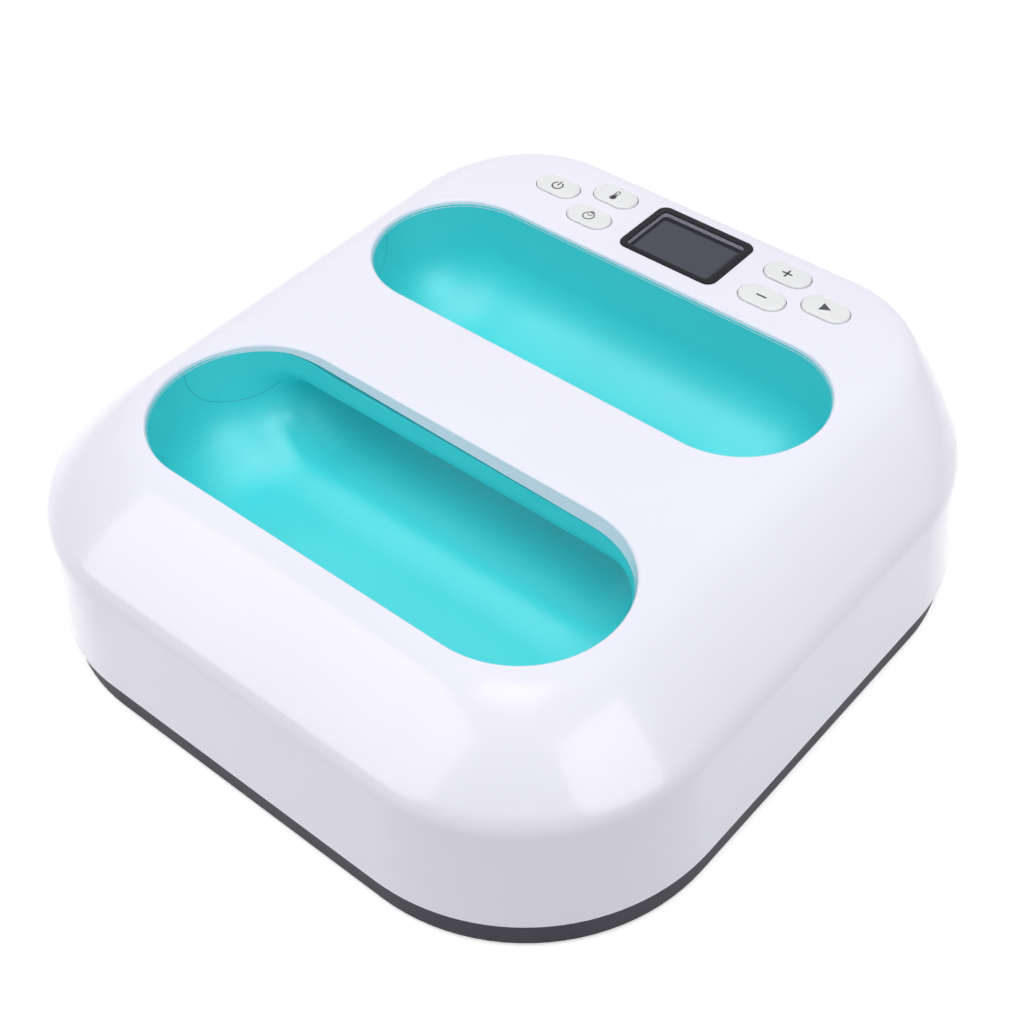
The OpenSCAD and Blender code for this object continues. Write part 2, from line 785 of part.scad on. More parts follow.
module power_transformer() {
    color("#8A7A3A") translate([mix(power_x0, power_x1, 0.53), mix(power_y0, power_y1, 0.5),
        power_z1]) {
        translate([-10, -8, 0]) cube([20, 16, 4]);
        translate([-7.5, -6, 4]) cube([15, 12, 9]);
        translate([-10, -8, 13]) cube([20, 16, 4]);
    }
}

module terminal_block() {
    color("#2F7D4F") translate([power_x1 - 20, power_y0 + 8.6, power_z1]) difference() {
        cube([15.2, 9, 10]);
        for (i = [0:2]) translate([2.6 + 5*i, 4.5, 7]) cylinder(d = 3.4, h = 4);
        for (i = [0:2]) translate([2.6 + 5*i, -1, 3]) rotate([-90, 0, 0])
            cylinder(d = 3, h = 5);
    }
}

module board_spacers() {
    color(steel) at_each(spacer_xy) translate([0, 0, shield_z1]) difference() {
        cylinder(d = spacer_d, h = spacer_h);
        translate([0, 0, -over])
            cylinder(d = screw_d + pilot_gap, h = spacer_h + 2*over);
    }
}

// Three-pin appliance inlet with its flange outside the back wall
module power_inlet() {
    color("#1E1E20") translate([inlet_x, inlet_face, inlet_z]) {
        difference() {
            union() {
                translate([0, inlet_flange_t/2, 0])
                    cube([inlet_w, inlet_flange_t, inlet_h], center = true);
                translate([-inlet_body_w/2, -inlet_body_l, -inlet_body_h/2])
                    cube([inlet_body_w, inlet_body_l, inlet_body_h]);
            }
            translate([0, inlet_flange_t + over, 0]) rotate([90, 0, 0])
                linear_extrude(socket_depth + over) socket_outline();
            for (s = [-1, 1]) translate([s*inlet_hole_x, inlet_flange_t + over, 0])
                rotate([90, 0, 0]) cylinder(d = screw_d + 0.4, h = inlet_flange_t + 2*over);
        }
        for (p = [[-7, -2], [0, 2], [7, -2]])
            translate([p[0], inlet_flange_t - socket_depth/2 - 1.5, p[1]])
                cube([2, socket_depth, 4], center = true);
    }
}

// Socket with two cut-off upper corners
module socket_outline() {
    c = 4.5;
    polygon([[-socket_w/2, -socket_h/2], [socket_w/2, -socket_h/2],
        [socket_w/2, socket_h/2 - c], [socket_w/2 - c, socket_h/2],
        [c - socket_w/2, socket_h/2], [-socket_w/2, socket_h/2 - c]]);
}

// ---- Plate stack ---------------------------------------------------------

// Path of the heating element, made of tubes of radius r
module element_path(r) {
    translate([0, 0, plate_t]) {
        for (x = run_x) translate([x, run_y0, 0]) rotate([-90, 0, 0])
            cylinder(r = r, h = run_y1 - run_y0);
        for (i = [0:2]) {
            cx = (run_x[i] + run_x[i + 1])/2;
            cr = (run_x[i + 1] - run_x[i])/2;
            up = i == 1;
            translate([cx, up ? run_y1 : run_y0, 0]) rotate(up ? 0 : 180)
                rotate_extrude(angle = 180) translate([cr, 0]) circle(r);
        }
    }
}

module element_risers(r) {
    for (i = [0, 3]) translate([run_x[i], run_y1, plate_t + riser_r])
        rotate([90, 0, 90]) {
            rotate([0, 0, -90]) rotate_extrude(angle = 90) translate([riser_r, 0]) circle(r);
            translate([riser_r, 0, 0]) rotate([-90, 0, 0])
                cylinder(r = r, h = riser_top - plate_t - riser_r);
        }
}

module heating_element() {
    color("#8E8078") {
        element_path(element_r);
        element_risers(element_r);
    }
}

// Cast plate with the groove that holds the element
module heat_plate() {
    c = 1.5;
    color("#6F7076") difference() {
        union() {
            plate_shape(plate_half, plate_r, c, plate_t);
            plate_shape(plate_half - c, plate_r - c, 0, plate_t);
        }
        element_path(element_r + 0.05);
        element_risers(element_r + 0.4);
        at_each(standoff_xy) translate([0, 0, plate_t - 5])
            cylinder(d = plate_screw_d + pilot_gap, h = 6);
    }
}

module insulation_board() {
    color("#E6E0D2") difference() {
        plate_shape(plate_half - 3, plate_r - 3, insulation_z0, insulation_z0 + insulation_t);
        at_each(standoff_xy) cylinder(d = standoff_d + 0.6, h = body_h);
        at_each([cutout_xy]) cylinder(d = cutout_d + 10, h = body_h);
        at_each([sensor_xy]) cylinder(d = 22, h = body_h);
        for (i = [0, 3]) translate([run_x[i], run_y1 + riser_r/2, 0]) linear_extrude(body_h)
            square([element_d + 1, riser_r + 2*element_d], center = true);
    }
}

// Steel tray over the insulation, seated on the rim's collar
module heat_shield() {
    color(steel) difference() {
        union() {
            plate_shape(shield_half, collar_r + collar_t, shield_z0, shield_z1);
            for (p = shield_screw_xy) translate([p[0], p[1], shield_z0])
                cylinder(r = boss_d/2, h = shield_t);
            for (a = [0:90:270]) rotate(a) translate([shield_half, 0, shield_z0 + shield_t/2])
                cube([2*shield_ear_set, boss_d, shield_t], center = true);
            for (y = [-1, 1]*plate_w*0.2) translate([0, y, shield_z1])
                linear_extrude(1.4) stadium(plate_w*0.5, 8);
        }
        for (y = [-1, 1]*plate_w*0.2) translate([0, y, shield_z0 - over])
            linear_extrude(over + shield_t) stadium(plate_w*0.5 - 2.4, 5.6);
        at_each(shield_screw_xy) cylinder(d = screw_d + 0.4, h = body_h);
        at_each(standoff_xy) cylinder(d = plate_screw_d + 0.4, h = body_h);
        at_each(spacer_xy) translate([0, 0, shield_z0 - over])
            cylinder(d = screw_d + pilot_gap, h = shield_t + 2*over);
        for (i = [0, 3]) translate([run_x[i], run_y1 + riser_r, 0])
            cylinder(d = element_d + 3, h = body_h);
    }
}

// Snap disc that cuts the power if the plate overheats
module thermal_cutout() {
    color("#2A2A2C") translate([cutout_xy[0], cutout_xy[1], plate_t]) {
        cylinder(d = cutout_d, h = cutout_t);
        for (s = [-1, 1]) translate([s*4.5 - 0.4, -3, cutout_t]) cube([0.8, 6, 4]);
    }
}

// Sensor under a ring lug
module temperature_sensor() {
    color("#C9A24A") translate([sensor_xy[0], sensor_xy[1], plate_t]) difference() {
        union() {
            cylinder(d = 9, h = 1);
            translate([-3, 0, 0]) cube([6, 8, 1]);
            translate([0, 8, 2]) rotate([90, 0, 0]) cylinder(d = 4, h = 7);
        }
        translate([0, 0, -over]) cylinder(d = 3.4, h = 5);
    }
}

module plate_standoffs() {
    color(steel) at_each(standoff_xy) translate([0, 0, plate_t]) difference() {
        cylinder(d = standoff_d, h = shield_z0 - plate_t);
        translate([0, 0, -over])
            cylinder(d = plate_screw_d + pilot_gap, h = shield_z0 - plate_t + 2*over);
    }
}

// ---- Fasteners -----------------------------------------------------------

module housing_screws() {
    color(steel) at_each(housing_boss_xy) translate([0, 0, rim_top - 4])
        screw(housing_screw_l);
}

module shield_screws() {
    color(steel) at_each(shield_screw_xy) translate([0, 0, shield_z1])
        mirror([0, 0, 1]) screw(shield_screw_l - 1);
}

module plate_screws() {
    color(steel) at_each(standoff_xy) translate([0, 0, shield_z1])
        mirror([0, 0, 1]) screw(plate_screw_l, plate_screw_d, 7.6, 2.8);
}

module well_screws() {
    color(steel) at_each(ear_xy) translate([0, 0, ear_z]) screw(well_screw_l);
}

module grip_screws() {
    color(steel) for (s = [-1, 1]) translate([s*grip_screw_x, bridge_y, grip_seat_z])
        screw(grip_screw_l);
}

module board_screws() {
    color(steel) {
        at_each(pcb_screw_xy) translate([0, 0, pcb_z0]) screw(board_screw_l);
        at_each(spacer_xy) translate([0, 0, power_z1]) mirror([0, 0, 1])
            screw(spacer_screw_l);
    }
}

module inlet_screws() {
    color(steel) for (s = [-1, 1])
        translate([inlet_x + s*inlet_hole_x, inlet_face + inlet_flange_t, inlet_z])
            rotate([90, 0, 0]) screw(inlet_screw_l - 1, hd = 5);
}

top_housing();
base_rim();
handle_well();
grip_liner();
display_bezel();
display_window();
lcd_module();
power_button();
temperature_button();
timer_button();
plus_button();
minus_button();
start_button();
control_board();
tact_switches();
buzzer();
power_board();
relay();
power_transformer();
terminal_block();
board_spacers();
power_inlet();
heat_shield();
insulation_board();
heat_plate();
heating_element();
thermal_cutout();
temperature_sensor();
plate_standoffs();
housing_screws();
shield_screws();
plate_screws();
well_screws();
grip_screws();
board_screws();
inlet_screws();
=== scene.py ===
# %% [markdown]
# # A handheld heat press
# The press is a white moulded housing with two teal finger wells, a grip
# between them, a small control panel and a heated plate underneath. The CAD
# model fixes every size. Here each visible part gets its finish, and the
# mouldings get smoother skins than the solids need. First the frame is
# loaded.

import math

import bmesh
import bpy
import numpy as np
from mathutils import Matrix, Vector


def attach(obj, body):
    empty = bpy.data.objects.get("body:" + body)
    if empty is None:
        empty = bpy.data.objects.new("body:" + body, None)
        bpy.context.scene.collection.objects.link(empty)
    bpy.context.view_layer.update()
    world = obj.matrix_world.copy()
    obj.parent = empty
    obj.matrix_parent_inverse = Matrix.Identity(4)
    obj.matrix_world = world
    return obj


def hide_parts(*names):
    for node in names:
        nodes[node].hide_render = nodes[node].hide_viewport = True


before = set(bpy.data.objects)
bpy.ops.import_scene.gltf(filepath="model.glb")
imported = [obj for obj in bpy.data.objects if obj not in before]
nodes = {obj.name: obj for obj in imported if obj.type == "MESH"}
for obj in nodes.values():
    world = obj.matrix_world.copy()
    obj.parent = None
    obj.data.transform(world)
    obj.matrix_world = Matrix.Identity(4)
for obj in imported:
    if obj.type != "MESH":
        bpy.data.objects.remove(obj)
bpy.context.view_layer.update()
MM = 0.001

# %% [markdown]
# ## The camera
# The photograph was matched: the plate's corners, the wells and the
# panel gave the lens, the place and the small roll of the camera. A camera
# looks along its own -Z, so its three columns are right, up and back.

# %% Camera
azimuth, elevation, roll = math.radians(42.039), math.radians(45.194), math.radians(-2.447)
back = Vector((math.sin(azimuth)*math.cos(elevation),
               -math.cos(azimuth)*math.cos(elevation), math.sin(elevation)))
right = (-back).cross(Vector((0, 0, 1))).normalized()
up = right.cross(-back)
tilted_right = right*math.cos(roll) + up*math.sin(roll)
tilted_up = up*math.cos(roll) - right*math.sin(roll)
turn = Matrix((tilted_right, tilted_up, back)).transposed()

camera = bpy.data.objects.new("camera", bpy.data.cameras.new("camera"))
camera.data.sensor_width = 36
camera.data.lens = 62.50
camera.matrix_world = Matrix.Translation(Vector((319.73, -351.54, 510.52))*MM) @ turn.to_4x4()
camera.data.clip_end = 50
scene = bpy.context.scene
scene.collection.objects.link(camera)
scene.camera = camera
scene.view_settings.view_transform = "Standard"
print("camera at", [round(x, 3) for x in camera.location])

# %% [markdown]
# ## Wires for shader maths
# A material is a graph of nodes, and long chains of Math nodes are hard to
# read. One small class wraps an output socket, so that a sum such as
# 0.4 + mask*0.2 adds the nodes that it needs. Every other node comes from its
# one method, node(), which sets the settings first and the sockets after.

# %% The wire class
class Wire:
    def __init__(self, tree, socket=None):
        self.tree = tree
        self.socket = socket

    def node(self, kind, settings=None, sockets=None, out=0):
        made = self.tree.nodes.new(kind)
        for name, value in (settings or {}).items():
            if name == "stops":
                ramp = made.color_ramp.elements
                while len(ramp) < len(value):
                    ramp.new(0.5)
                for element, (place, colour) in zip(ramp, value):
                    element.position = place
                    element.color = colour
            else:
                setattr(made, name, value)
        for name, value in (sockets or {}).items():
            wires = value if isinstance(value, list) else [value]
            if isinstance(wires[0], Wire):
                for wire in wires:
                    self.tree.links.new(wire.socket, made.inputs[name])
            else:
                made.inputs[name].default_value = value
        return Wire(self.tree, made.outputs[out])

    def math(self, operation, first, second):
        return self.node("ShaderNodeMath", {"operation": operation}, {0: first, 1: second})

    def __add__(self, other): return self.math("ADD", self, other)
    def __radd__(self, other): return self.math("ADD", other, self)
    def __sub__(self, other): return self.math("SUBTRACT", self, other)
    def __mul__(self, other): return self.math("MULTIPLY", self, other)
    def __gt__(self, other): return self.math("GREATER_THAN", self, other)

    def over(self, low, high, start=0.0, end=1.0):
        """This value carried from low..high to start..end, with no overshoot."""
        return self.node("ShaderNodeMapRange", {"interpolation_type": "SMOOTHSTEP"},
                         {0: self, 1: low, 2: high, 3: start, 4: end})


def srgb(red, green, blue):
    """An 8-bit screen colour as the linear colour that a shader takes."""
    def linear(c):
        c /= 255
        return c/12.92 if c <= 0.04045 else ((c + 0.055)/1.055)**2.4
    return (linear(red), linear(green), linear(blue), 1.0)


def finish(name, colour, roughness, **fixed):
    """A new material: its wire of object coordinates, its shader and itself."""
    material = bpy.data.materials.new(name)
    material.use_nodes = True
    tree = material.node_tree
    shader = tree.nodes["Principled BSDF"]
    shader.inputs["Base Color"].default_value = colour
    shader.inputs["Roughness"].default_value = roughness
    for socket, value in fixed.items():
        shader.inputs[socket.replace("_", " ")].default_value = value
    place = Wire(tree).node("ShaderNodeTexCoord", out="Object")
    return place, shader, material


def feed(shader, **wires):
    for socket, wire in wires.items():
        wire.tree.links.new(wire.socket, shader.inputs[socket.replace("_", " ")])


def noise(place, scale, detail=2.0):
    return place.node("ShaderNodeTexNoise", None,
                      {"Vector": place, "Scale": scale, "Detail": detail})


def blend(factor, first, second):
    return factor.node("ShaderNodeMix", {"data_type": "RGBA"},
                       {0: factor, 6: first, 7: second}, out=2)


def bump(height, strength, distance):
    return height.node("ShaderNodeBump", None,
                       {"Height": height, "Strength": strength, "Distance": distance})


print("shader helpers ready")

# %% [markdown]
# ## Finishes
# The housing is glossy white plastic with a breath of lavender. Up close a
# moulding is never perfectly even: it has a faint waviness in its gloss and
# a very fine grain. Each finish below gets that from noise at its own scale.

# %% White plastic
def plastic(name, colour, roughness, grain, spread, coat=0.0, level=0.5):
    place, shader, material = finish(name, colour, roughness, Specular_IOR_Level=level,
                                     Coat_Weight=coat, Coat_Roughness=0.05)
    cloud = noise(place, 9, 3)
    shade = [c*0.97 for c in colour[:3]] + [1.0]
    feed(shader, Base_Color=blend(cloud.over(0.35, 0.75), colour, shade),
         Roughness=roughness + (noise(place, 60) - 0.5)*spread,
         Normal=bump(noise(place, 1400, 1), grain, 0.00004))
    return material


white = plastic("white_gloss", srgb(241, 240, 254), 0.20, 0.08, 0.05, coat=0.6)
button_white = plastic("button_satin", srgb(236, 237, 238), 0.42, 0.25, 0.08)
rim_dark = plastic("rim_satin", srgb(56, 54, 65), 0.52, 0.45, 0.12, level=0.2)
black = plastic("black_moulding", srgb(30, 30, 33), 0.38, 0.4, 0.1)
frame_black = plastic("frame_satin", srgb(12, 12, 22), 0.36, 0.15, 0.08, level=0.22)
# Painted highlight: this pale grey stands in for the light that the display's inner wall catches.
trim_grey = plastic("trim_grey", srgb(176, 175, 188), 0.3, 0.1, 0.05)
print("plastics:", white.name, button_white.name, rim_dark.name)

# %% [markdown]
# ## Teal tub finish
# The wells are satin plastic. A fine spark texture from the mould breaks up
# the light a little, so the grain is coarser than on the white housing. At
# the ends of both wells the mould's inserts leave a hairline ring. A ring is
# the set of points at one distance from a centre, so a distance node on the
# object's own y and z, narrowed to a line, draws it and presses it in.

# %% Teal plastic
TEAL, TEAL_SHADE, SEAM_SHADE = srgb(72, 223, 229), srgb(64, 216, 222), srgb(10, 110, 116)
place, shader, teal = finish("teal_satin", TEAL, 0.46, Specular_IOR_Level=1.0)
SEAM_FROM = 80


def seam(place, y, z, radius, width=0.24):
    """1 on a hairline circle about an axis along x, near the tub's two ends."""
    flat = place.node("ShaderNodeVectorMath", {"operation": "MULTIPLY"}, {0: place, 1: (0, 1, 1)})
    reach = place.node("ShaderNodeVectorMath", {"operation": "DISTANCE"},
                       {0: flat, 1: (0, y*MM, z*MM)}, out="Value")
    off = (reach - radius*MM).math("ABSOLUTE", reach - radius*MM, 0.0)
    side = place.node("ShaderNodeSeparateXYZ", None, {0: place}, out=0)
    end = side.math("ABSOLUTE", side, 0.0).over(SEAM_FROM*MM, (SEAM_FROM + 4)*MM)
    return off.over(width*MM*0.3, width*MM*0.9, 1, 0)*end


lines = seam(place, -42.9, 87.2, 18.7) + seam(place, 38, 88, 9.5)
cloud = noise(place, 14, 3)
feed(shader,
     Base_Color=blend(lines*0.55, blend(cloud.over(0.3, 0.8), TEAL, TEAL_SHADE), SEAM_SHADE),
     Roughness=0.42 + (noise(place, 45) - 0.5)*0.1,
     Normal=bump(noise(place, 1100, 2) - lines*4, 0.3, 0.00006))
print("teal:", teal.name)

# %% [markdown]
# ## Metals
# Plated screws and lugs are drawn metal: fine streaks of noise change both
# their colour and how rough they are.

# %% Metal and zinc
def metal(name, colour, roughness, scale):
    place, shader, material = finish(name, colour, roughness, Metallic=1.0)
    brushed = noise(place, scale, 4)
    shade = [c*0.8 for c in colour[:3]] + [1.0]
    feed(shader, Base_Color=blend(brushed.over(0.3, 0.7), colour, shade),
         Roughness=roughness + (brushed - 0.5)*0.25,
         Normal=bump(noise(place, scale*8, 2), 0.2, 0.00004))
    return material


zinc = metal("zinc_plate", srgb(186, 188, 192), 0.32, 220)
print("metal:", zinc.name)

# %% [markdown]
# ## The housing's skin
# The housing is a stack of rounded rectangles. Between the lower edge and
# the crease the stack leans in a little, and above the crease it follows a
# curve up to the flat top. A ring is a list of points with the same count
# for every level, so two rings blend point by point. That is how the crease
# and the edge of the flat top get their soft bends: a quadratic curve runs
# from the ring below, towards the ring at the bend, to the ring above.

# %% Sizes of the housing, in millimetres
BODY_W, BODY_L, BODY_H = 286, 287.5, 92
CORNER_R, TOP_CORNER_R = 78, 42
RIM_TOP, CREASE_H, LEAN, WALL = 15, 64, 3.4, 3
SHOULDER_SIDE, SHOULDER_FRONT, SHOULDER_REAR = 35.2, 37.2, 7.2
PULL = (0.47, 0.69)


def ring(hx, y0, y1, r, z, steps=30):
    """A rounded rectangle at height z, anticlockwise, as an array of points."""
    turns = np.radians(90*(np.arange(4)[:, None] + np.linspace(0, 1, steps + 1)[None, :]))
    cx = np.array([hx - r, r - hx, r - hx, hx - r])[:, None]
    cy = np.array([y1 - r, y1 - r, y0 + r, y0 + r])[:, None]
    x, y = cx + r*np.cos(turns), cy + r*np.sin(turns)
    return np.stack([x, y, np.full_like(x, z)], -1).reshape(-1, 3)


def wall_ring(share, inset=0.0):
    lean = LEAN*share + inset
    return ring(BODY_W/2 - lean, lean - BODY_L/2, BODY_L/2 - lean,
                CORNER_R - lean, RIM_TOP + (CREASE_H - RIM_TOP)*share)


def shoulder_ring(t, inset=0.0, top=BODY_H):
    u = 2*t*(1 - t)*PULL[0] + t*t
    v = 2*t*(1 - t)*PULL[1] + t*t
    return ring(BODY_W/2 - LEAN - u*SHOULDER_SIDE - inset,
                LEAN - BODY_L/2 + u*SHOULDER_FRONT + inset,
                BODY_L/2 - LEAN - u*SHOULDER_REAR - inset,
                (CORNER_R - LEAN)*(1 - u) + TOP_CORNER_R*u - inset,
                CREASE_H + (top - CREASE_H)*v)


def top_ring(inset):
    return ring(BODY_W/2 - LEAN - SHOULDER_SIDE - inset,
                LEAN - BODY_L/2 + SHOULDER_FRONT + inset,
                BODY_L/2 - LEAN - SHOULDER_REAR - inset, TOP_CORNER_R - inset, BODY_H)


def bend(first, middle, last, steps=8):
    """Rings along a quadratic curve through three rings."""
    return [first*(1 - t)**2 + middle*2*t*(1 - t) + last*t*t
            for t in np.linspace(0, 1, steps + 1)]


outer = [wall_ring(0, 0.7), wall_ring(0.006, 0.2), wall_ring(0.02)]
outer += [wall_ring(s) for s in np.linspace(0.15, 0.8, 6)]
outer += bend(wall_ring(0.9), wall_ring(1), shoulder_ring(0.10))
outer += [shoulder_ring(t) for t in np.linspace(0.14, 0.76, 16)]
outer += bend(shoulder_ring(0.82), shoulder_ring(1), top_ring(6.5), 12)
print("housing skin:", len(outer), "rings of", len(outer[0]), "points")

# %% [markdown]
# ## From rings to solids
# A stack of rings becomes a closed skin of quads with a cap at each end.
# Openings are cut with the Boolean modifier's exact solver, one cutter at a
# time, and the result is kept as a plain mesh. Vertices are then merged and
# edges sharper than an angle are marked, so that flat faces shade flat and
# the bends shade smooth.

# %% Solids
def solid(name, points, faces):
    mesh = bpy.data.meshes.new(name)
    mesh.from_pydata((np.asarray(points)*MM).tolist(), [], faces)
    made = bpy.data.objects.new(name, mesh)
    scene.collection.objects.link(made)
    return made


def stack(name, rings):
    """A closed skin over rings of equal length, with a face at each end."""
    n, m = len(rings[0]), len(rings)
    faces = [list(range(n))[::-1], [(m - 1)*n + i for i in range(n)]]
    for j in range(m - 1):
        for i in range(n):
            k = (i + 1) % n
            faces.append([j*n + i, j*n + k, (j + 1)*n + k, (j + 1)*n + i])
    return solid(name, np.concatenate(rings), faces)


def combine(target, operation, cutter):
    modifier = target.modifiers.new("cut", "BOOLEAN")
    modifier.operation = operation
    modifier.solver = "EXACT"
    modifier.object = cutter
    done = bpy.data.meshes.new_from_object(
        target.evaluated_get(bpy.context.evaluated_depsgraph_get()))
    target.modifiers.clear()
    target.data = done
    bpy.data.objects.remove(cutter)


def smooth(target, angle=32):
    """Merge doubles, shade smooth and keep edges sharper than the angle."""
    form = bmesh.new()
    form.from_mesh(target.data)
    bmesh.ops.remove_doubles(form, verts=form.verts, dist=1e-6)
    bmesh.ops.dissolve_degenerate(form, edges=form.edges, dist=1e-6)
    bmesh.ops.dissolve_verts(form, verts=[v for v in form.verts if len(v.link_edges) == 2])
    for face in form.faces:
        face.smooth = True
    for edge in form.edges:
        edge.smooth = len(edge.link_faces) == 2 and edge.calc_face_angle(0) < math.radians(angle)
    form.to_mesh(target.data)
    form.free()
    weigh = target.modifiers.new("weigh", "WEIGHTED_NORMAL")
    weigh.keep_sharp = True
    weigh.weight = 80


def stadium(length, width, cy, z, cx=0.0, steps=40):
    """A round-ended outline; z is a number, or a rule that takes x and y."""
    half = width/2
    angles = np.radians(np.linspace(-90, 90, steps + 1))
    x = np.concatenate([(length - width)/2 + half*np.cos(angles),
                        -(length - width)/2 - half*np.cos(angles)]) + cx
    y = np.concatenate([half*np.sin(angles), -half*np.sin(angles)]) + cy
    height = z(x, y) if callable(z) else np.full_like(x, z)
    return np.stack([x, y, height], -1)


print("solid helpers ready")

# %% [markdown]
# ## Wells, lips and the arched skirt
# Both wells are stadium shapes, a little left of the middle. The white lip
# rolls over their edge with a small radius and then drops as a skirt. Along
# the grip the skirt is deeper, so its lower edge follows a shallow arch
# across the wells, and it fades out towards their left ends. The teal tub
# starts just under that edge.

# %% Sizes of the wells, in millimetres
SLOT_L, FRONT_W, REAR_W = 199.6, 74.2, 66.4
BRIDGE_W, BRIDGE_Y = 45.7, -2.6
FRONT_Y = BRIDGE_Y - BRIDGE_W/2 - FRONT_W/2
REAR_Y = BRIDGE_Y + BRIDGE_W/2 + REAR_W/2
FRONT_X, REAR_X = -0.7, -1.7
WELLS = ((FRONT_X, FRONT_Y, FRONT_W/2), (REAR_X, REAR_Y, REAR_W/2))
LIP_R, LIP_WALL, LIP_DEPTH, SKIRT_DEPTH = 1.6, 2.6, 1.9, 6.6
FADE_FROM, FADE_TO, FADE_SHARE, LIP_DRAFT = -58, -84, 0.8, math.radians(14)
REACH = BRIDGE_W/2 + REAR_W*0.42
ARCH_R = (REACH**2 - (BRIDGE_W/2)**2)/(2*(SKIRT_DEPTH - LIP_DEPTH))
ARCH_Z = BODY_H - SKIRT_DEPTH - (BRIDGE_W/2)**2/(2*ARCH_R)


def skirt_edge(x, y, drop=0.0):
    """Height of the skirt's lower edge: an arch across, faded out at the left end."""
    arch = np.minimum(ARCH_Z + (y - BRIDGE_Y)**2/(2*ARCH_R), BODY_H - LIP_DEPTH)
    fade = np.clip((x - FADE_FROM)/(FADE_TO - FADE_FROM), 0, 1)
    return arch + (BODY_H - LIP_DEPTH - arch)*FADE_SHARE*fade*fade*(3 - 2*fade) - drop


def lip_cutter(cx, cy, half):
    """The opening of a well: walls that lean out, then the rolled edge of the lip."""
    deep = 30
    lean = -(deep - LIP_R)*math.tan(LIP_DRAFT)
    rings = [stadium(SLOT_L + 2*lean, 2*(half + lean), cy, BODY_H - deep, cx)]
    for a in np.radians(np.linspace(0, 84, 12)):
        out = LIP_R*(1 - math.cos(a))
        height = BODY_H - LIP_R*(1 - math.sin(a))
        rings.append(stadium(SLOT_L + 2*out, 2*(half + out), cy, height, cx))
    out += 0.9
    rings.append(stadium(SLOT_L + 2*out, 2*(half + out), cy, height + 0.1, cx))
    out += 0.1
    rings.append(stadium(SLOT_L + 2*out, 2*(half + out), cy, BODY_H + 4, cx))
    return stack("lip_cutter", rings)


print("wells centred at y", round(FRONT_Y, 2), "and", round(REAR_Y, 2))

# %% [markdown]
# ## The white housing
# The housing is hollow: an inner stack, moved in by the wall, is cut from the
# outer one. The lip walls are then joined on, and the wells, the keys, the
# display and the inlet are cut through.

# %% Cut the housing
PANEL_Y = BODY_L/2 - 33.2
KEY_L, KEY_W, KEY_PROUD, SLIDE = 19.4, 11.2, 0.9, 0.3
KEYS = {"power": (-64, 0), "temperature": (-41.3, 8.6), "timer": (-41.3, -8.6),
        "plus": (41.3, 8.6), "minus": (41.3, -8.6), "start": (64, 0)}
DISPLAY_W, DISPLAY_L, DISPLAY_R = 45, 31, 4

housing = stack("housing_skin", outer)
inner = [wall_ring(-0.1, WALL), wall_ring(1, WALL)]
inner += [shoulder_ring(t, WALL, BODY_H - WALL) for t in np.linspace(0.1, 1, 12)]
combine(housing, "DIFFERENCE", stack("hollow", inner))
for cx, cy, half in WELLS:
    low = stadium(SLOT_L + 2*LIP_WALL, 2*(half + LIP_WALL), cy, skirt_edge, cx)
    high = stadium(SLOT_L + 2*LIP_WALL, 2*(half + LIP_WALL), cy, BODY_H - WALL/2, cx)
    combine(housing, "UNION", stack("lip_wall", [low, high]))
    combine(housing, "DIFFERENCE", lip_cutter(cx, cy, half))
for kx, ky in KEYS.values():
    hole = [stadium(KEY_L + 2*SLIDE + g, KEY_W + 2*SLIDE + g, PANEL_Y + ky, BODY_H + z, kx, 16)
            for g, z in ((0, -6), (0, -0.25), (0.6, 0.05), (0.7, 2))]
    combine(housing, "DIFFERENCE", stack("key_hole", hole))
frame_hole = [ring(DISPLAY_W/2 + 0.15, PANEL_Y - DISPLAY_L/2 - 0.15, PANEL_Y + DISPLAY_L/2 + 0.15,
                   DISPLAY_R + 0.15, z, 8) for z in (BODY_H - 6, BODY_H + 2)]
combine(housing, "DIFFERENCE", stack("frame_hole", frame_hole))


def block(name, low, high):
    """A box-shaped cutter or pad between two corners."""
    x0, y0, z0 = low
    x1, y1, z1 = high
    base = np.array([[x0, y0, 0], [x1, y0, 0], [x1, y1, 0], [x0, y1, 0]], float)
    return stack(name, [base + [0, 0, z0], base + [0, 0, z1]])


INLET_X, INLET_Z, INLET_H = 36, 40, 24
INLET_Y = BODY_L/2 - 0.3 - LEAN*(INLET_Z + INLET_H/2 - RIM_TOP)/(CREASE_H - RIM_TOP)
combine(housing, "UNION", block("pad", (INLET_X - 27, INLET_Y - 4, INLET_Z - 14),
                                (INLET_X + 27, INLET_Y - 1, INLET_Z + 14)))
combine(housing, "DIFFERENCE", block("seat", (INLET_X - 25.15, INLET_Y, INLET_Z - 12.15),
                                     (INLET_X + 25.15, INLET_Y + 20, INLET_Z + 12.15)))
combine(housing, "DIFFERENCE", block("way", (INLET_X - 14.15, INLET_Y - 9, INLET_Z - 10.15),
                                     (INLET_X + 14.15, INLET_Y + 9, INLET_Z + 10.15)))
smooth(housing)


def dress(piece, material, slot, *stands_for, body="press"):
    """Give a finished piece its material and its body, and hide the parts it stands for; slot is
    not used.
    """
    piece.data.materials.clear()
    piece.data.materials.append(material)
    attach(piece, body)
    if stands_for:
        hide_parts(*stands_for)


dress(housing, white, "white_shell", "top_housing")
print("housing:", len(housing.data.polygons), "faces")

# %% [markdown]
# ## The teal tub
# The two wells join under the grip, and every edge of that passage is soft.
# Fillets are hard to get from Booleans, so the tub is made as a field: a
# rule that gives, for any point, how far it is from the air of the wells.
# Fields blend smoothly, so the edges round themselves. The surface is then
# drawn where the field passes through zero.

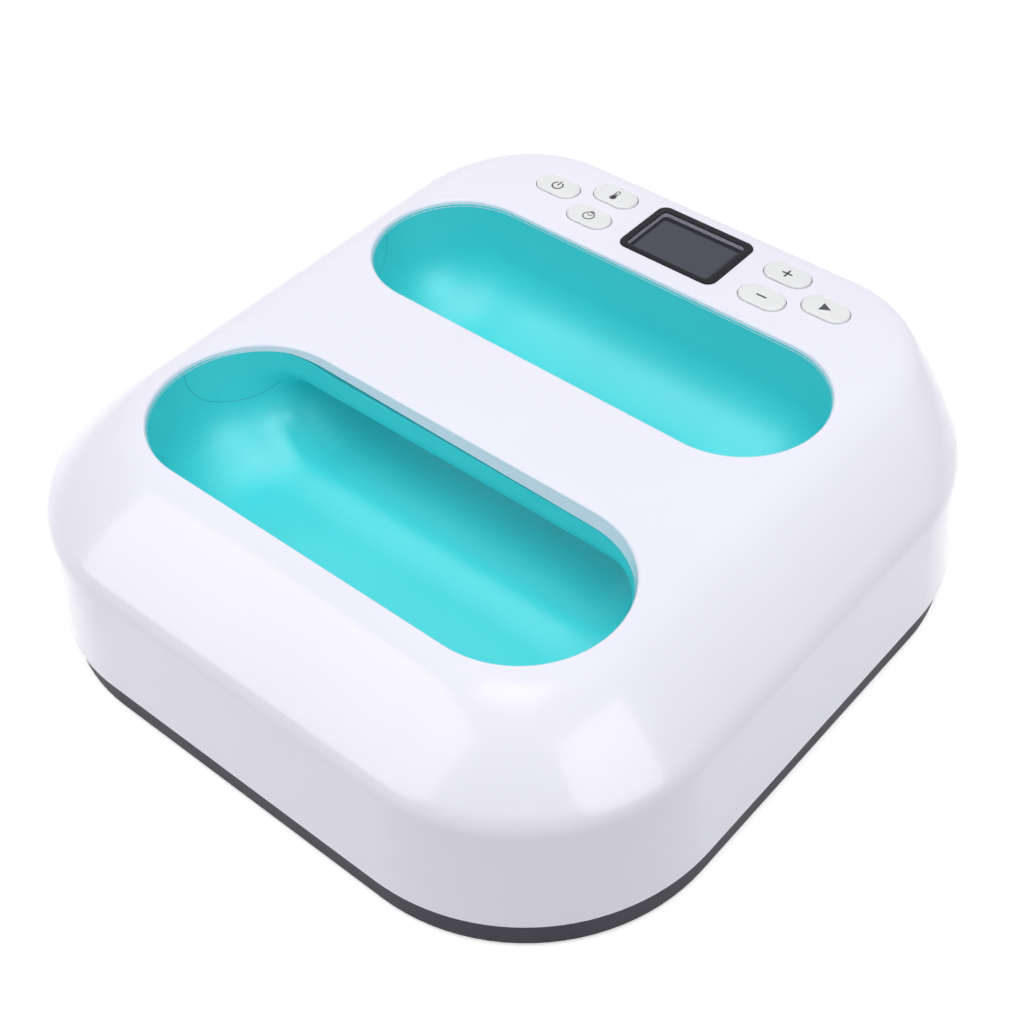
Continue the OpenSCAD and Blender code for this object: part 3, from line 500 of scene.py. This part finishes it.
# %% The tub as a field of distances
FLOOR_Z, FLOOR_R, DRAFT = BODY_H - 47, 24, math.radians(6)
TUNNEL_HALF, TUNNEL_R, TUNNEL_TOP, GRIP_RISE = 80, 22, BODY_H - 15, 2.3
FLARE, FLARE_REACH, RAMP = 5, 30, 0.25
GRIP_HALF, GRIP_BASE = BRIDGE_W/2 + 0.9, BODY_H - 17.5


def well_air(x, y, z, cx, cy, half):
    """Distance to a well: a stadium bowl with leaning walls and a round floor corner."""
    corner_z = FLOOR_Z + FLOOR_R
    corner = half - FLOOR_R/math.cos(DRAFT) - (BODY_H - corner_z)*math.tan(DRAFT)
    along = np.maximum(np.abs(x - cx) - (SLOT_L/2 - half), 0)
    reach = np.hypot(along, y - cy) - corner
    beyond_wall = reach*math.cos(DRAFT) - (z - corner_z)*math.sin(DRAFT)
    below = corner_z - z
    outside = np.hypot(np.maximum(beyond_wall, 0), np.maximum(below, 0))
    return outside + np.minimum(np.maximum(beyond_wall, below), 0) - FLOOR_R


def passage_air(x, y, z):
    """Distance to the passage under the grip, which flares towards both wells."""
    half = TUNNEL_HALF + FLARE*np.minimum(np.abs(y - BRIDGE_Y)/FLARE_REACH, 1)**2
    side = np.abs(x) - (half - TUNNEL_R)
    ramp = RAMP*np.maximum(np.abs(y - BRIDGE_Y) - BRIDGE_W/2, 0)
    below = FLOOR_Z + ramp + TUNNEL_R - z
    lower = (np.hypot(np.maximum(side, 0), np.maximum(below, 0))
             + np.minimum(np.maximum(side, below), 0) - TUNNEL_R)
    roof = z - (TUNNEL_TOP - GRIP_RISE*(x/TUNNEL_HALF)**2)
    ends = np.abs(y - (FRONT_Y + REAR_Y)/2) - (REAR_Y - FRONT_Y)/2
    return -soft_least(soft_least(-lower, -roof, 9), -ends, 3)


def soft_least(first, second, spread):
    """The smaller of two fields, rounded where they meet."""
    share = np.maximum(spread - np.abs(first - second), 0)/spread
    return np.minimum(first, second) - share*share*spread/4


def rise(value, low, high):
    """0 below low, 1 above high and a straight ramp between."""
    return np.clip((value - low)/(high - low), 0, 1)


def tub_field(x, y, z):
    """Below zero in the tub's plastic: a wall round the air, and a filling under the grip."""
    air = soft_least(well_air(x, y, z, *WELLS[0]), well_air(x, y, z, *WELLS[1]), 1)
    softness = 4 + 4*rise(np.abs(x), 66, 80)*rise(z, 50, 58)
    air = soft_least(air, passage_air(x, y, z), softness)
    grip = -soft_least(GRIP_HALF - np.abs(y - BRIDGE_Y), z - GRIP_BASE, 2.5)
    air = -soft_least(-air, grip, 1.5)
    middle = np.maximum(np.abs(x) - 92, np.abs(y - BRIDGE_Y) - BRIDGE_W/2 - 12)
    filling = np.maximum(middle, TUNNEL_TOP - 14 - z)
    return np.maximum(-air, np.minimum(air - WALL, filling))


print("tub field at the front well's centre:",
      round(float(tub_field(np.array(0.), np.array(FRONT_Y), np.array(70.))), 2), "mm")

# %% [markdown]
# ## Drawing a surface through a field
# The field is sampled on a grid. Every cell that the surface crosses gets one
# point, the mean of the crossings on its edges, and every grid edge that
# crosses the surface gets one quad between its four cells. This is known as
# surface nets, and it makes small even quads.

# %% Surface nets
def surface(name, field, low, high, step):
    axes = [np.arange(a, b + step, step) for a, b in zip(low, high)]
    grid = np.meshgrid(*axes, indexing="ij")
    value = field(*grid)
    inside = value < 0
    shape = [n - 1 for n in value.shape]
    corner = [(i, j, k) for i in (0, 1) for j in (0, 1) for k in (0, 1)]

    def at(array, c):
        return array[c[0]:c[0] + shape[0], c[1]:c[1] + shape[1], c[2]:c[2] + shape[2]]

    count = sum(at(inside, c).astype(int) for c in corner)
    crossed = (count > 0) & (count < 8)
    total = np.zeros((int(crossed.sum()), 3))
    weight = np.zeros(len(total))
    for a in corner:
        for axis in range(3):
            if a[axis]:
                continue
            b = tuple(1 if n == axis else a[n] for n in range(3))
            va, vb = at(value, a)[crossed], at(value, b)[crossed]
            hit = (va < 0) != (vb < 0)
            t = np.where(hit, va/np.where(hit, va - vb, 1), 0)
            point = np.repeat(np.array(a, float)[None], len(total), 0)
            point[:, axis] = t
            total += point*hit[:, None]
            weight += hit
    cells = np.argwhere(crossed)
    points = np.array(low, float) + step*(cells + total/weight[:, None])
    index = np.full(shape, -1)
    index[crossed] = np.arange(len(points))
    faces = []
    for axis in range(3):
        u, v = [n for n in range(3) if n != axis]
        first = np.take(inside, range(shape[axis]), axis)
        second = np.take(inside, range(1, shape[axis] + 1), axis)
        for way in (True, False):
            edges = np.argwhere((first != second) & (first == way))
            keep = (edges[:, u] > 0) & (edges[:, v] > 0) \
                & (edges[:, u] < shape[u]) & (edges[:, v] < shape[v])
            edges = edges[keep]
            quad = []
            for du, dv in ((1, 1), (0, 1), (0, 0), (1, 0)):
                cell = edges.copy()
                cell[:, u] -= du
                cell[:, v] -= dv
                quad.append(index[tuple(cell.T)])
            quad = np.stack(quad, -1)
            flip = way == (axis == 1)
            faces.append(quad[:, ::-1] if flip else quad)
    return solid(name, points, np.concatenate(faces).tolist())


tub = surface("finger_tub", tub_field, (-107, -107, 39), (107, 95, BODY_H + 3), 1.45)
print("tub surface:", len(tub.data.polygons), "quads")

# %% [markdown]
# The grid stops above the tub's real edge, so that the edge itself can be
# cut cleanly along the arch of the skirt.

# %% Trim the tub to the skirt
spans = np.linspace(-150, 150, 61)
sheet = []
for x in (-150, *range(-86, -54, 2), 150):
    lower = np.stack([np.full_like(spans, x), spans, skirt_edge(x, spans, 0.15)], -1)
    upper = np.stack([np.full_like(spans, x), spans[::-1], np.full_like(spans, BODY_H + 20)], -1)
    sheet.append(np.concatenate([lower, upper]))
combine(tub, "DIFFERENCE", stack("skirt_zone", sheet))
smooth(tub, 50)
dress(tub, teal, "teal_plastic", "handle_well", "grip_liner")
print("tub:", len(tub.data.polygons), "faces")

# %% [markdown]
# ## Recipes in Geometry Nodes
# The dark rim, the screws and the six keys follow rules: a section that runs
# round a rounded rectangle, one screw at many places, one cap with six
# places. Such shapes suit Geometry Nodes. A tree is built once with named
# inputs, and the drawn section is the mesh that it is given. Running a tree
# keeps only its result, as a plain mesh, with any open loop filled flat.

# %% Build and run a tree
def recipe(name, *sizes):
    """A geometry tree with named sizes, and a wire for each of its inputs."""
    tree = bpy.data.node_groups.new(name, "GeometryNodeTree")
    tree.interface.new_socket("Section", in_out="INPUT", socket_type="NodeSocketGeometry")
    for size in sizes:
        tree.interface.new_socket(size, in_out="INPUT", socket_type="NodeSocketFloat")
    tree.interface.new_socket("Material", in_out="INPUT", socket_type="NodeSocketMaterial")
    tree.interface.new_socket("Piece", in_out="OUTPUT", socket_type="NodeSocketGeometry")
    given = tree.nodes.new("NodeGroupInput")
    return {socket.name: Wire(tree, socket) for socket in given.outputs if socket.name}


def serve(given, result):
    """End a tree with real geometry in its material."""
    real = result.node("GeometryNodeRealizeInstances", None, {0: result})
    done = real.node("GeometryNodeSetMaterial", None, {0: real, "Material": given["Material"]})
    end = done.tree.nodes.new("NodeGroupOutput")
    done.tree.links.new(done.socket, end.inputs[0])


def grow(name, given, section, material, closed=True, **sizes):
    """Run a tree on a section, a list of (across, height) in mm, and keep its mesh."""
    count = len(section)
    mesh = bpy.data.meshes.new(name)
    mesh.from_pydata([(x*MM, -z*MM, 0) for x, z in section],
                     [(i, (i + 1) % count) for i in range(count if closed else count - 1)], [])
    piece = bpy.data.objects.new(name, mesh)
    scene.collection.objects.link(piece)
    tree = given["Section"].tree
    modifier = piece.modifiers.new("recipe", "NODES")
    modifier.node_group = tree
    for socket in tree.interface.items_tree:
        key = socket.name.replace(" ", "_").lower()
        if socket.in_out == "INPUT" and key in sizes:
            modifier[socket.identifier] = sizes[key]*MM
        elif socket.name == "Material":
            modifier[socket.identifier] = material
    piece.data = bpy.data.meshes.new_from_object(
        piece.evaluated_get(bpy.context.evaluated_depsgraph_get()))
    piece.modifiers.clear()
    form = bmesh.new()
    form.from_mesh(piece.data)
    bmesh.ops.remove_doubles(form, verts=form.verts, dist=3e-6)
    bmesh.ops.holes_fill(form, edges=[edge for edge in form.edges if edge.is_boundary], sides=0)
    bmesh.ops.recalc_face_normals(form, faces=form.faces)
    form.to_mesh(piece.data)
    form.free()
    return piece


def path_round(wire, width, length, radius, count=16):
    """A rounded rectangle as a path, with its sections held upright."""
    path = wire.node("GeometryNodeCurvePrimitiveQuadrilateral", {"mode": "RECTANGLE"},
                     {"Width": width, "Height": length})
    path = path.node("GeometryNodeFilletCurve", {"mode": "POLY"},
                     {"Curve": path, "Count": count, "Radius": radius})
    return path.node("GeometryNodeSetCurveNormal", {"mode": "Z_UP"}, {"Curve": path})


def sweep(path, section):
    profile = section.node("GeometryNodeMeshToCurve", None, {"Mesh": section})
    return path.node("GeometryNodeCurveToMesh", None, {"Curve": path, "Profile Curve": profile})


def move(wire, x, y, z):
    place = wire.node("ShaderNodeCombineXYZ", None, {0: x, 1: y, 2: z})
    return wire.node("GeometryNodeTransform", None, {"Geometry": wire, "Translation": place})


print("recipe helpers ready")

# %% [markdown]
# ## The dark rim
# The rim is one moulding that carries the hot plate's surround. Its section
# is drawn once: a shallow groove under the white housing that reads as a
# thin black line, an upright face, a soft lower edge and the flat underside
# as far as the plate's opening. Eight screws go up through it, so eight
# deep holes are cut where two rectangles have their corners.

# %% Sweep the rim and cut its screw holes
RIM_INSET, RIM_LIFT, OPENING = 2.2, 1.6, 116.5
SCREW_SET, SCREW_AT = 14, 58


def corners(wire, across_x, across_y, apart):
    """Eight places: the corners of a wide rectangle and of a long one."""
    wide = wire.node("GeometryNodeMeshGrid", None,
                     {"Size X": across_x, "Size Y": apart, "Vertices X": 2, "Vertices Y": 2})
    long = wire.node("GeometryNodeMeshGrid", None,
                     {"Size X": apart, "Size Y": across_y, "Vertices X": 2, "Vertices Y": 2})
    return wire.node("GeometryNodeJoinGeometry", None, {0: [wide, long]})


def drill(wire, places, radius, low, high):
    """Round bars on every place, between two heights."""
    bar = wire.node("GeometryNodeMeshCylinder", None,
                    {"Vertices": 32, "Radius": radius, "Depth": high - low})
    bars = wire.node("GeometryNodeInstanceOnPoints", None,
                     {"Points": move(places, 0.0, 0.0, (low + high)/2), "Instance": bar})
    return wire.node("GeometryNodeRealizeInstances", None, {0: bars})


rim = recipe("rim_recipe", "Width", "Length", "Corner", "Across X", "Across Y", "Apart",
             "Head Hole", "Shaft Hole")
section = rim["Section"]
ring_form = sweep(path_round(section, rim["Width"], rim["Length"], rim["Corner"], 24), section)
places = corners(section, rim["Across X"], rim["Across Y"], rim["Apart"])
holes = [drill(section, places, rim["Head Hole"], 0.0, 11*MM),
         drill(section, places, rim["Shaft Hole"], 10*MM, 20*MM)]
serve(rim, section.node("GeometryNodeMeshBoolean", {"operation": "DIFFERENCE", "solver": "EXACT"},
                        {"Mesh 1": ring_form, "Mesh 2": holes}))
SPAN = BODY_W/2 - RIM_INSET - OPENING
rim_section = [(-1.5, RIM_TOP - 0.15), (-1.5, 13.9), (-0.4, 13.9), (-0.12, 13.8), (0, 13.5),
               (0, 2.9), (-0.1, 2.4), (-0.35, 2.0), (-0.75, 1.72), (-1.3, RIM_LIFT),
               (0.9 - SPAN, RIM_LIFT), (0.4 - SPAN, 1.75), (0.1 - SPAN, 2.1), (-SPAN, 2.6),
               (-SPAN, RIM_TOP - 0.15)]
base = grow("rim_moulding", rim, rim_section, rim_dark,
            width=BODY_W - 2*RIM_INSET, length=BODY_L - 2*RIM_INSET, corner=CORNER_R - RIM_INSET,
            across_x=BODY_W - 2*SCREW_SET, across_y=BODY_L - 2*SCREW_SET, apart=2*SCREW_AT,
            head_hole=3.1, shaft_hole=1.7)
smooth(base, 35)
dress(base, rim_dark, "dark_rim", "base_rim")
print("rim:", len(base.data.polygons), "faces")

# %% [markdown]
# ## Screws
# The housing screws sit deep in the rim's holes with their heads down. One
# screw is turned like work on a lathe, by sweeping half of its outline round
# a tiny circle, and a cross is cut into its head. Every screw stops at a
# different turn, so a seeded random angle sets each one.

# %% Turn the screws
def lathe(section):
    circle = section.node("GeometryNodeCurvePrimitiveCircle", None,
                          {"Resolution": 28, "Radius": 1e-6})
    return sweep(circle.node("GeometryNodeSetCurveNormal", {"mode": "Z_UP"}, {"Curve": circle}),
                 section)


screws = recipe("screw_recipe", "Across X", "Across Y", "Apart", "Height",
                "Slot Length", "Slot Width")
section = screws["Section"]
turned = section.node("GeometryNodeMergeByDistance", None, {0: lathe(section), "Distance": 4e-6})
bars = []
for first, second in (("Slot Length", "Slot Width"), ("Slot Width", "Slot Length")):
    size = section.node("ShaderNodeCombineXYZ", None,
                        {0: screws[first], 1: screws[second], 2: 2.4*MM})
    bars.append(section.node("GeometryNodeMeshCube", None, {"Size": size}))
one = section.node("GeometryNodeMeshBoolean", {"operation": "DIFFERENCE", "solver": "EXACT"},
                   {"Mesh 1": turned, "Mesh 2": bars})
places = corners(section, screws["Across X"], screws["Across Y"], screws["Apart"])
angle = section.node("FunctionNodeRandomValue", {"data_type": "FLOAT"},
                     {2: 0.0, 3: math.pi/2, "Seed": 7}, out=1)
turn_z = section.node("ShaderNodeCombineXYZ", None, {2: angle})
serve(screws, section.node("GeometryNodeInstanceOnPoints", None,
                           {"Points": move(places, 0.0, 0.0, screws["Height"]),
                            "Instance": one, "Rotation": turn_z}))
screw_outline = [(0, 0), (1.3, 0.06), (2.1, 0.3), (2.62, 0.8), (2.8, 1.4), (2.8, 2.2),
                 (1.5, 2.2), (1.5, 16.6), (1.1, 18.1), (0, 18.2)]
heads = grow("rim_screws", screws, screw_outline, zinc, closed=False,
             across_x=BODY_W - 2*SCREW_SET, across_y=BODY_L - 2*SCREW_SET, apart=2*SCREW_AT,
             height=8.8, slot_length=3.2, slot_width=0.8)
smooth(heads, 30)
dress(heads, zinc, "steel", "housing_screws")
print("screws:", len(heads.data.polygons), "faces")

# %% [markdown]
# ## Keys
# All six keys are the same cap: a stadium with a soft rolled edge and a
# nearly flat crown. The section of its edge is swept round the stadium, and
# the two openings that are left are filled flat. Only the place differs.

# %% Make the six caps
END_SHARE = 0.488    # a little under half, so that the ends keep a short straight edge
caps = recipe("key_recipe", "Length", "Width", "X", "Y", "Z")
section = caps["Section"]
path = path_round(section, caps["Length"], caps["Width"], caps["Width"]*END_SHARE, 14)
edge = sweep(path, section)
serve(caps, move(edge, caps["X"], caps["Y"], caps["Z"]))
EDGE, INSET, CROWN, CAP_BASE = 1.0, 3.4, 0.12, -4.2
cap_section = [(-INSET, CAP_BASE), (0, CAP_BASE), (0, KEY_PROUD - EDGE)]
cap_section += [(-EDGE*(1 - math.cos(a)), KEY_PROUD - CROWN - (EDGE - CROWN)*(1 - math.sin(a)))
                for a in np.radians((15, 30, 45, 60, 75, 90))]
cap_section += [(-1.8, KEY_PROUD - 0.05), (-2.6, KEY_PROUD - 0.012), (-INSET, KEY_PROUD)]
for key, (kx, ky) in KEYS.items():
    cap = grow(key + "_cap", caps, cap_section, button_white, closed=False,
               length=KEY_L, width=KEY_W, x=kx, y=PANEL_Y + ky, z=BODY_H)
    smooth(cap, 40)
    dress(cap, button_white, "button_white", key + "_button", body=key + "_button")
print("key caps:", len(KEYS), "with", len(cap.data.polygons), "faces each")

# %% [markdown]
# ## The display's frame
# The frame is a black moulding with soft edges, a little narrower in front.
# A pale inner wall drops from it to the window, and its pale grey is a painted
# highlight for the light that it catches. Both are closed loops: rings that go
# up outside, over the top and down inside, and then back to the first one.

# %% Frame and inner wall
def loop(name, rings):
    """A closed hollow loop over rings of equal length."""
    n, m = len(rings[0]), len(rings)
    faces = []
    for j in range(m):
        for i in range(n):
            a, b = j*n, (j + 1) % m*n
            faces.append([a + i, a + (i + 1) % n, b + (i + 1) % n, b + i])
    return solid(name, np.concatenate(rings), faces)


def bezel_ring(inset, z, front=0.0, r=DISPLAY_R):
    return ring(DISPLAY_W/2 - inset, PANEL_Y - DISPLAY_L/2 + inset - front,
                PANEL_Y + DISPLAY_L/2 - inset, max(r - inset, 0.4), z, 8)


PROUD, BORDER, FRONT_GAIN, WINDOW_R = 0.6, 3.2, 0.9, 5.2
top = BODY_H + PROUD


def window_ring(inset, z):
    """A ring at the window's edge, which reaches further to the front."""
    return bezel_ring(inset, z, FRONT_GAIN, WINDOW_R)


surround = loop("display_frame", [
    bezel_ring(0, BODY_H - 3), bezel_ring(0, top - 0.35), bezel_ring(0.12, top - 0.1),
    bezel_ring(0.4, top), window_ring(BORDER - 0.3, top), window_ring(BORDER - 0.08, top - 0.08),
    window_ring(BORDER, top - 0.3), window_ring(BORDER, BODY_H - 3)])
smooth(surround, 40)
dress(surround, frame_black, "frame_black", "display_bezel")
# The inner wall's pale grey is a painted highlight.
wall = loop("display_inner_wall", [
    window_ring(BORDER - 0.15, BODY_H - 1.5), window_ring(BORDER - 0.15, top - 0.5),
    window_ring(BORDER + 0.08, top - 0.5), window_ring(BORDER + 0.2, BODY_H - 1.5)])
smooth(wall, 40)
dress(wall, trim_grey, "display_grey")
print("frame:", len(surround.data.polygons), "faces")

# %% [markdown]
# ## Symbols on the keys
# Each key carries a printed dark grey symbol. Print has no height to speak
# of, so a symbol is a thin flat plate that lies on the crown of its key. It
# is drawn from strokes: a stroke is a line of points made into a ribbon with
# round ends. The start key gets a plain triangle.

# %% Draw the symbols
ink = plastic("key_ink", srgb(70, 72, 76), 0.5, 0.1, 0.05)
KEY_TOP = BODY_H + KEY_PROUD


def arc(cx, cy, r, start, end, steps=24):
    turns = np.radians(np.linspace(start, end, steps))
    return np.stack([cx + r*np.cos(turns), cy + r*np.sin(turns)], -1)


def ribbon(form, line, width):
    """Add a flat stroke along a line, with half-round ends, to a bmesh."""
    line = np.asarray(line, float)
    step = np.gradient(line, axis=0)
    step /= np.linalg.norm(step, axis=1)[:, None]
    side = np.stack([-step[:, 1], step[:, 0]], -1)*width/2
    first = math.degrees(math.atan2(side[0][1], side[0][0]))
    last = math.degrees(math.atan2(-side[-1][1], -side[-1][0]))
    outline = np.concatenate([line + side,
                              arc(*line[-1], width/2, last + 180, last, 8)[1:-1],
                              (line - side)[::-1],
                              arc(*line[0], width/2, first + 180, first, 8)[1:-1]])
    patch(form, outline)


def patch(form, outline):
    corners = [form.verts.new((x, y, 0)) for x, y in outline]
    form.faces.new(corners)


def symbol(key, draw):
    """A thin plate of ink on a key, standing 0.04 mm proud of its crown."""
    form = bmesh.new()
    draw(form)
    bmesh.ops.recalc_face_normals(form, faces=form.faces)
    for face in form.faces:
        if face.normal.z < 0:
            face.normal_flip()
    pushed = bmesh.ops.extrude_face_region(form, geom=list(form.faces))
    tops = [v for v in pushed["geom"] if isinstance(v, bmesh.types.BMVert)]
    bmesh.ops.translate(form, verts=tops, vec=(0, 0, 0.04))
    bmesh.ops.recalc_face_normals(form, faces=form.faces)
    kx, ky = KEYS[key]
    for vert in form.verts:
        vert.co = (vert.co + Vector((kx, PANEL_Y + ky - 0.35, KEY_TOP - 0.005)))*MM
    mesh = bpy.data.meshes.new(key + "_symbol")
    form.to_mesh(mesh)
    form.free()
    made = bpy.data.objects.new(key + "_symbol", mesh)
    scene.collection.objects.link(made)
    dress(made, ink, "button_white", body=key + "_button")


def draw_power(form):
    ribbon(form, arc(0, -0.2, 2.2, 125, 415, 40), 0.66)
    ribbon(form, [(0, 0), (0, 1.2), (0, 2.6)], 0.66)


def draw_temperature(form):
    ribbon(form, [(-0.7, -0.6), (-0.7, 2.2)], 0.42)
    ribbon(form, [(0.7, -0.6), (0.7, 2.2)], 0.42)
    ribbon(form, arc(0, 2.2, 0.7, 0, 180, 12), 0.42)
    patch(form, arc(0, -1.6, 1.4, 0, 342, 20))
    ribbon(form, [(0, -1.4), (0, 0.7)], 0.6)


def draw_timer(form):
    ribbon(form, arc(0, 0, 2.3, 0, 360, 48), 0.52)
    ribbon(form, [(-1.0, 0.8), (0, 0), (1.0, 1.2)], 0.46)
    ribbon(form, [(-0.8, 2.8), (0.8, 2.8)], 0.46)


def draw_plus(form):
    ribbon(form, [(-1.9, 0), (0, 0), (1.9, 0)], 0.8)
    ribbon(form, [(0, -1.9), (0, 0), (0, 1.9)], 0.8)


def draw_minus(form):
    ribbon(form, [(-1.9, 0), (0, 0), (1.9, 0)], 0.86)


def draw_start(form):
    patch(form, [(-1.8, -2.3), (2.4, 0), (-1.8, 2.3)])


for key, draw in (("power", draw_power), ("temperature", draw_temperature),
                  ("timer", draw_timer), ("plus", draw_plus),
                  ("minus", draw_minus), ("start", draw_start)):
    symbol(key, draw)

# %% [markdown]
# ## Finishes of the CAD parts
# The other parts already have the right shape, so they only need their
# finish. A CAD node takes a material through its material slots.

# %% Dress the CAD parts
brass = metal("brass_lug", srgb(200, 160, 84), 0.3, 260)
sheath = metal("element_sheath", srgb(130, 118, 110), 0.45, 160)
coating = plastic("plate_coating", srgb(58, 58, 62), 0.5, 0.8, 0.2)
board = plastic("solder_mask", srgb(36, 100, 62), 0.34, 0.3, 0.1, coat=0.3)
fibre = plastic("ceramic_fibre", srgb(226, 220, 206), 0.9, 1.0, 0.1)
relay_blue = plastic("relay_case", srgb(36, 58, 92), 0.35, 0.3, 0.1)
tape = plastic("core_tape", srgb(190, 158, 60), 0.4, 0.3, 0.1)
terminal = plastic("terminal_green", srgb(44, 122, 78), 0.4, 0.3, 0.1)
# The darker edge colour is partly the display's own dark edge and partly painted shade where the
# frame's shadow falls.
TINT, TINT_EDGE_SHADE = srgb(60, 64, 77), srgb(40, 39, 52)
place, shader, lens = finish("window_tint", TINT, 0.10, Specular_IOR_Level=0.3)
across = place.node("ShaderNodeSeparateXYZ", None, {0: place}, out=0)
along = place.node("ShaderNodeSeparateXYZ", None, {0: place}, out=1)
# Mask of the darker band along the window's sides and rear: partly the display's dark edge,
# partly painted shade from the frame.
edge_and_painted_shade = (across.math("ABSOLUTE", across, 0.0).over(16.9*MM, 17.5*MM)
          + along.over((PANEL_Y + 9.2)*MM, (PANEL_Y + 9.8)*MM))
feed(shader, Base_Color=blend(edge_and_painted_shade, TINT, TINT_EDGE_SHADE),
     Roughness=0.08 + noise(place, 80)*0.04)
place, shader, lcd = finish("unlit_display", srgb(76, 80, 92), 0.25)
feed(shader, Base_Color=blend(noise(place, 30), srgb(74, 78, 90), srgb(80, 84, 96)))

finishes = {
    "base_rim": rim_dark, "display_bezel": frame_black, "display_window": lens,
    "lcd_module": lcd, "control_board": board, "power_board": board,
    "tact_switches": black, "buzzer": black, "power_inlet": black, "thermal_cutout": black,
    "relay": relay_blue, "power_transformer": tape, "terminal_block": terminal,
    "insulation_board": fibre, "heat_plate": coating, "heating_element": sheath,
    "temperature_sensor": brass}
finishes.update({key + "_button": button_white for key in KEYS})
for name, node in nodes.items():
    node.data.materials.clear()
    node.data.materials.append(finishes.get(name, zinc))
print("dressed", len(nodes), "nodes")

# %% [markdown]
# ## The room
# The press stands on white, with large soft panels round it whose pale
# reflections lie on the front shoulder. Three panels only show in the gloss;
# the light on the object comes from the sky and one broad lamp overhead, at
# a level where colours render as they are written. The camera and the
# reflections see the floor and the sky as white.

# %% Floor and sky
def seen(start):
    """1 where the camera, a reflection or glass looks, 0 for the light on the object."""
    path = start.node("ShaderNodeLightPath").socket.node
    rays = [Wire(start.tree, path.outputs[name])
            for name in ("Is Camera Ray", "Is Glossy Ray", "Is Transmission Ray")]
    return (rays[0] + rays[1] + rays[2]) > 0.5


floor_mesh = bpy.data.meshes.new("floor")
floor_mesh.from_pydata([(-9, -9, 0), (9, -9, 0), (9, 9, 0), (-9, 9, 0)], [], [(0, 1, 2, 3)])
floor = bpy.data.objects.new("floor", floor_mesh)
scene.collection.objects.link(floor)
place, shader, floor_white = finish("floor_white", (0.75, 0.75, 0.76, 1), 0.8,
                                    Specular_IOR_Level=0.0, Emission_Strength=1.0)
feed(shader, Base_Color=blend(seen(place), (0.46, 0.46, 0.47, 1), (1, 1, 1, 1)),
     Emission_Color=blend(seen(place), (0, 0, 0, 1), (0.5, 0.5, 0.5, 1)))
floor.data.materials.append(floor_white)

SKY = 0.45
world = bpy.data.worlds.new("studio")
scene.world = world
world.use_nodes = True
background = world.node_tree.nodes["Background"]
start = Wire(world.node_tree)
start.tree.links.new((SKY + seen(start)*(1 - SKY)).socket, background.inputs["Strength"])
background.inputs["Color"].default_value = (1, 1, 1, 1)
print("sky:", SKY, "on the object, 1 where it is seen")


# %% Panels
def panel(name, azimuth, elevation, distance, width, height, glow, lights=True, shows=True):
    """A soft panel that faces the press, and lights it, shows in its gloss, or both."""
    a, e = math.radians(azimuth), math.radians(elevation)
    light = bpy.data.lights.new(name, "AREA")
    light.shape = "RECTANGLE"
    light.size, light.size_y = width, height
    light.energy = glow*math.pi*width*height
    lamp = bpy.data.objects.new(name, light)
    scene.collection.objects.link(lamp)
    towards = Vector((math.sin(a)*math.cos(e), -math.cos(a)*math.cos(e), math.sin(e)))
    lamp.location = towards*distance
    lamp.rotation_euler = towards.to_track_quat("Z", "Y").to_euler()
    lamp.visible_diffuse = lights
    lamp.visible_glossy = shows


panel("front_panel", -26, 33, 1.6, 1.35, 1.5, 1.22, lights=False)
panel("right_panel", 80, 28, 1.6, 0.95, 1.5, 1.5, lights=False)
panel("top_panel", 20, 76, 1.6, 0.6, 0.6, 1.3, lights=False)
panel("overhead_light", 30, 78, 1.8, 1.7, 1.7, 2.38, shows=False)
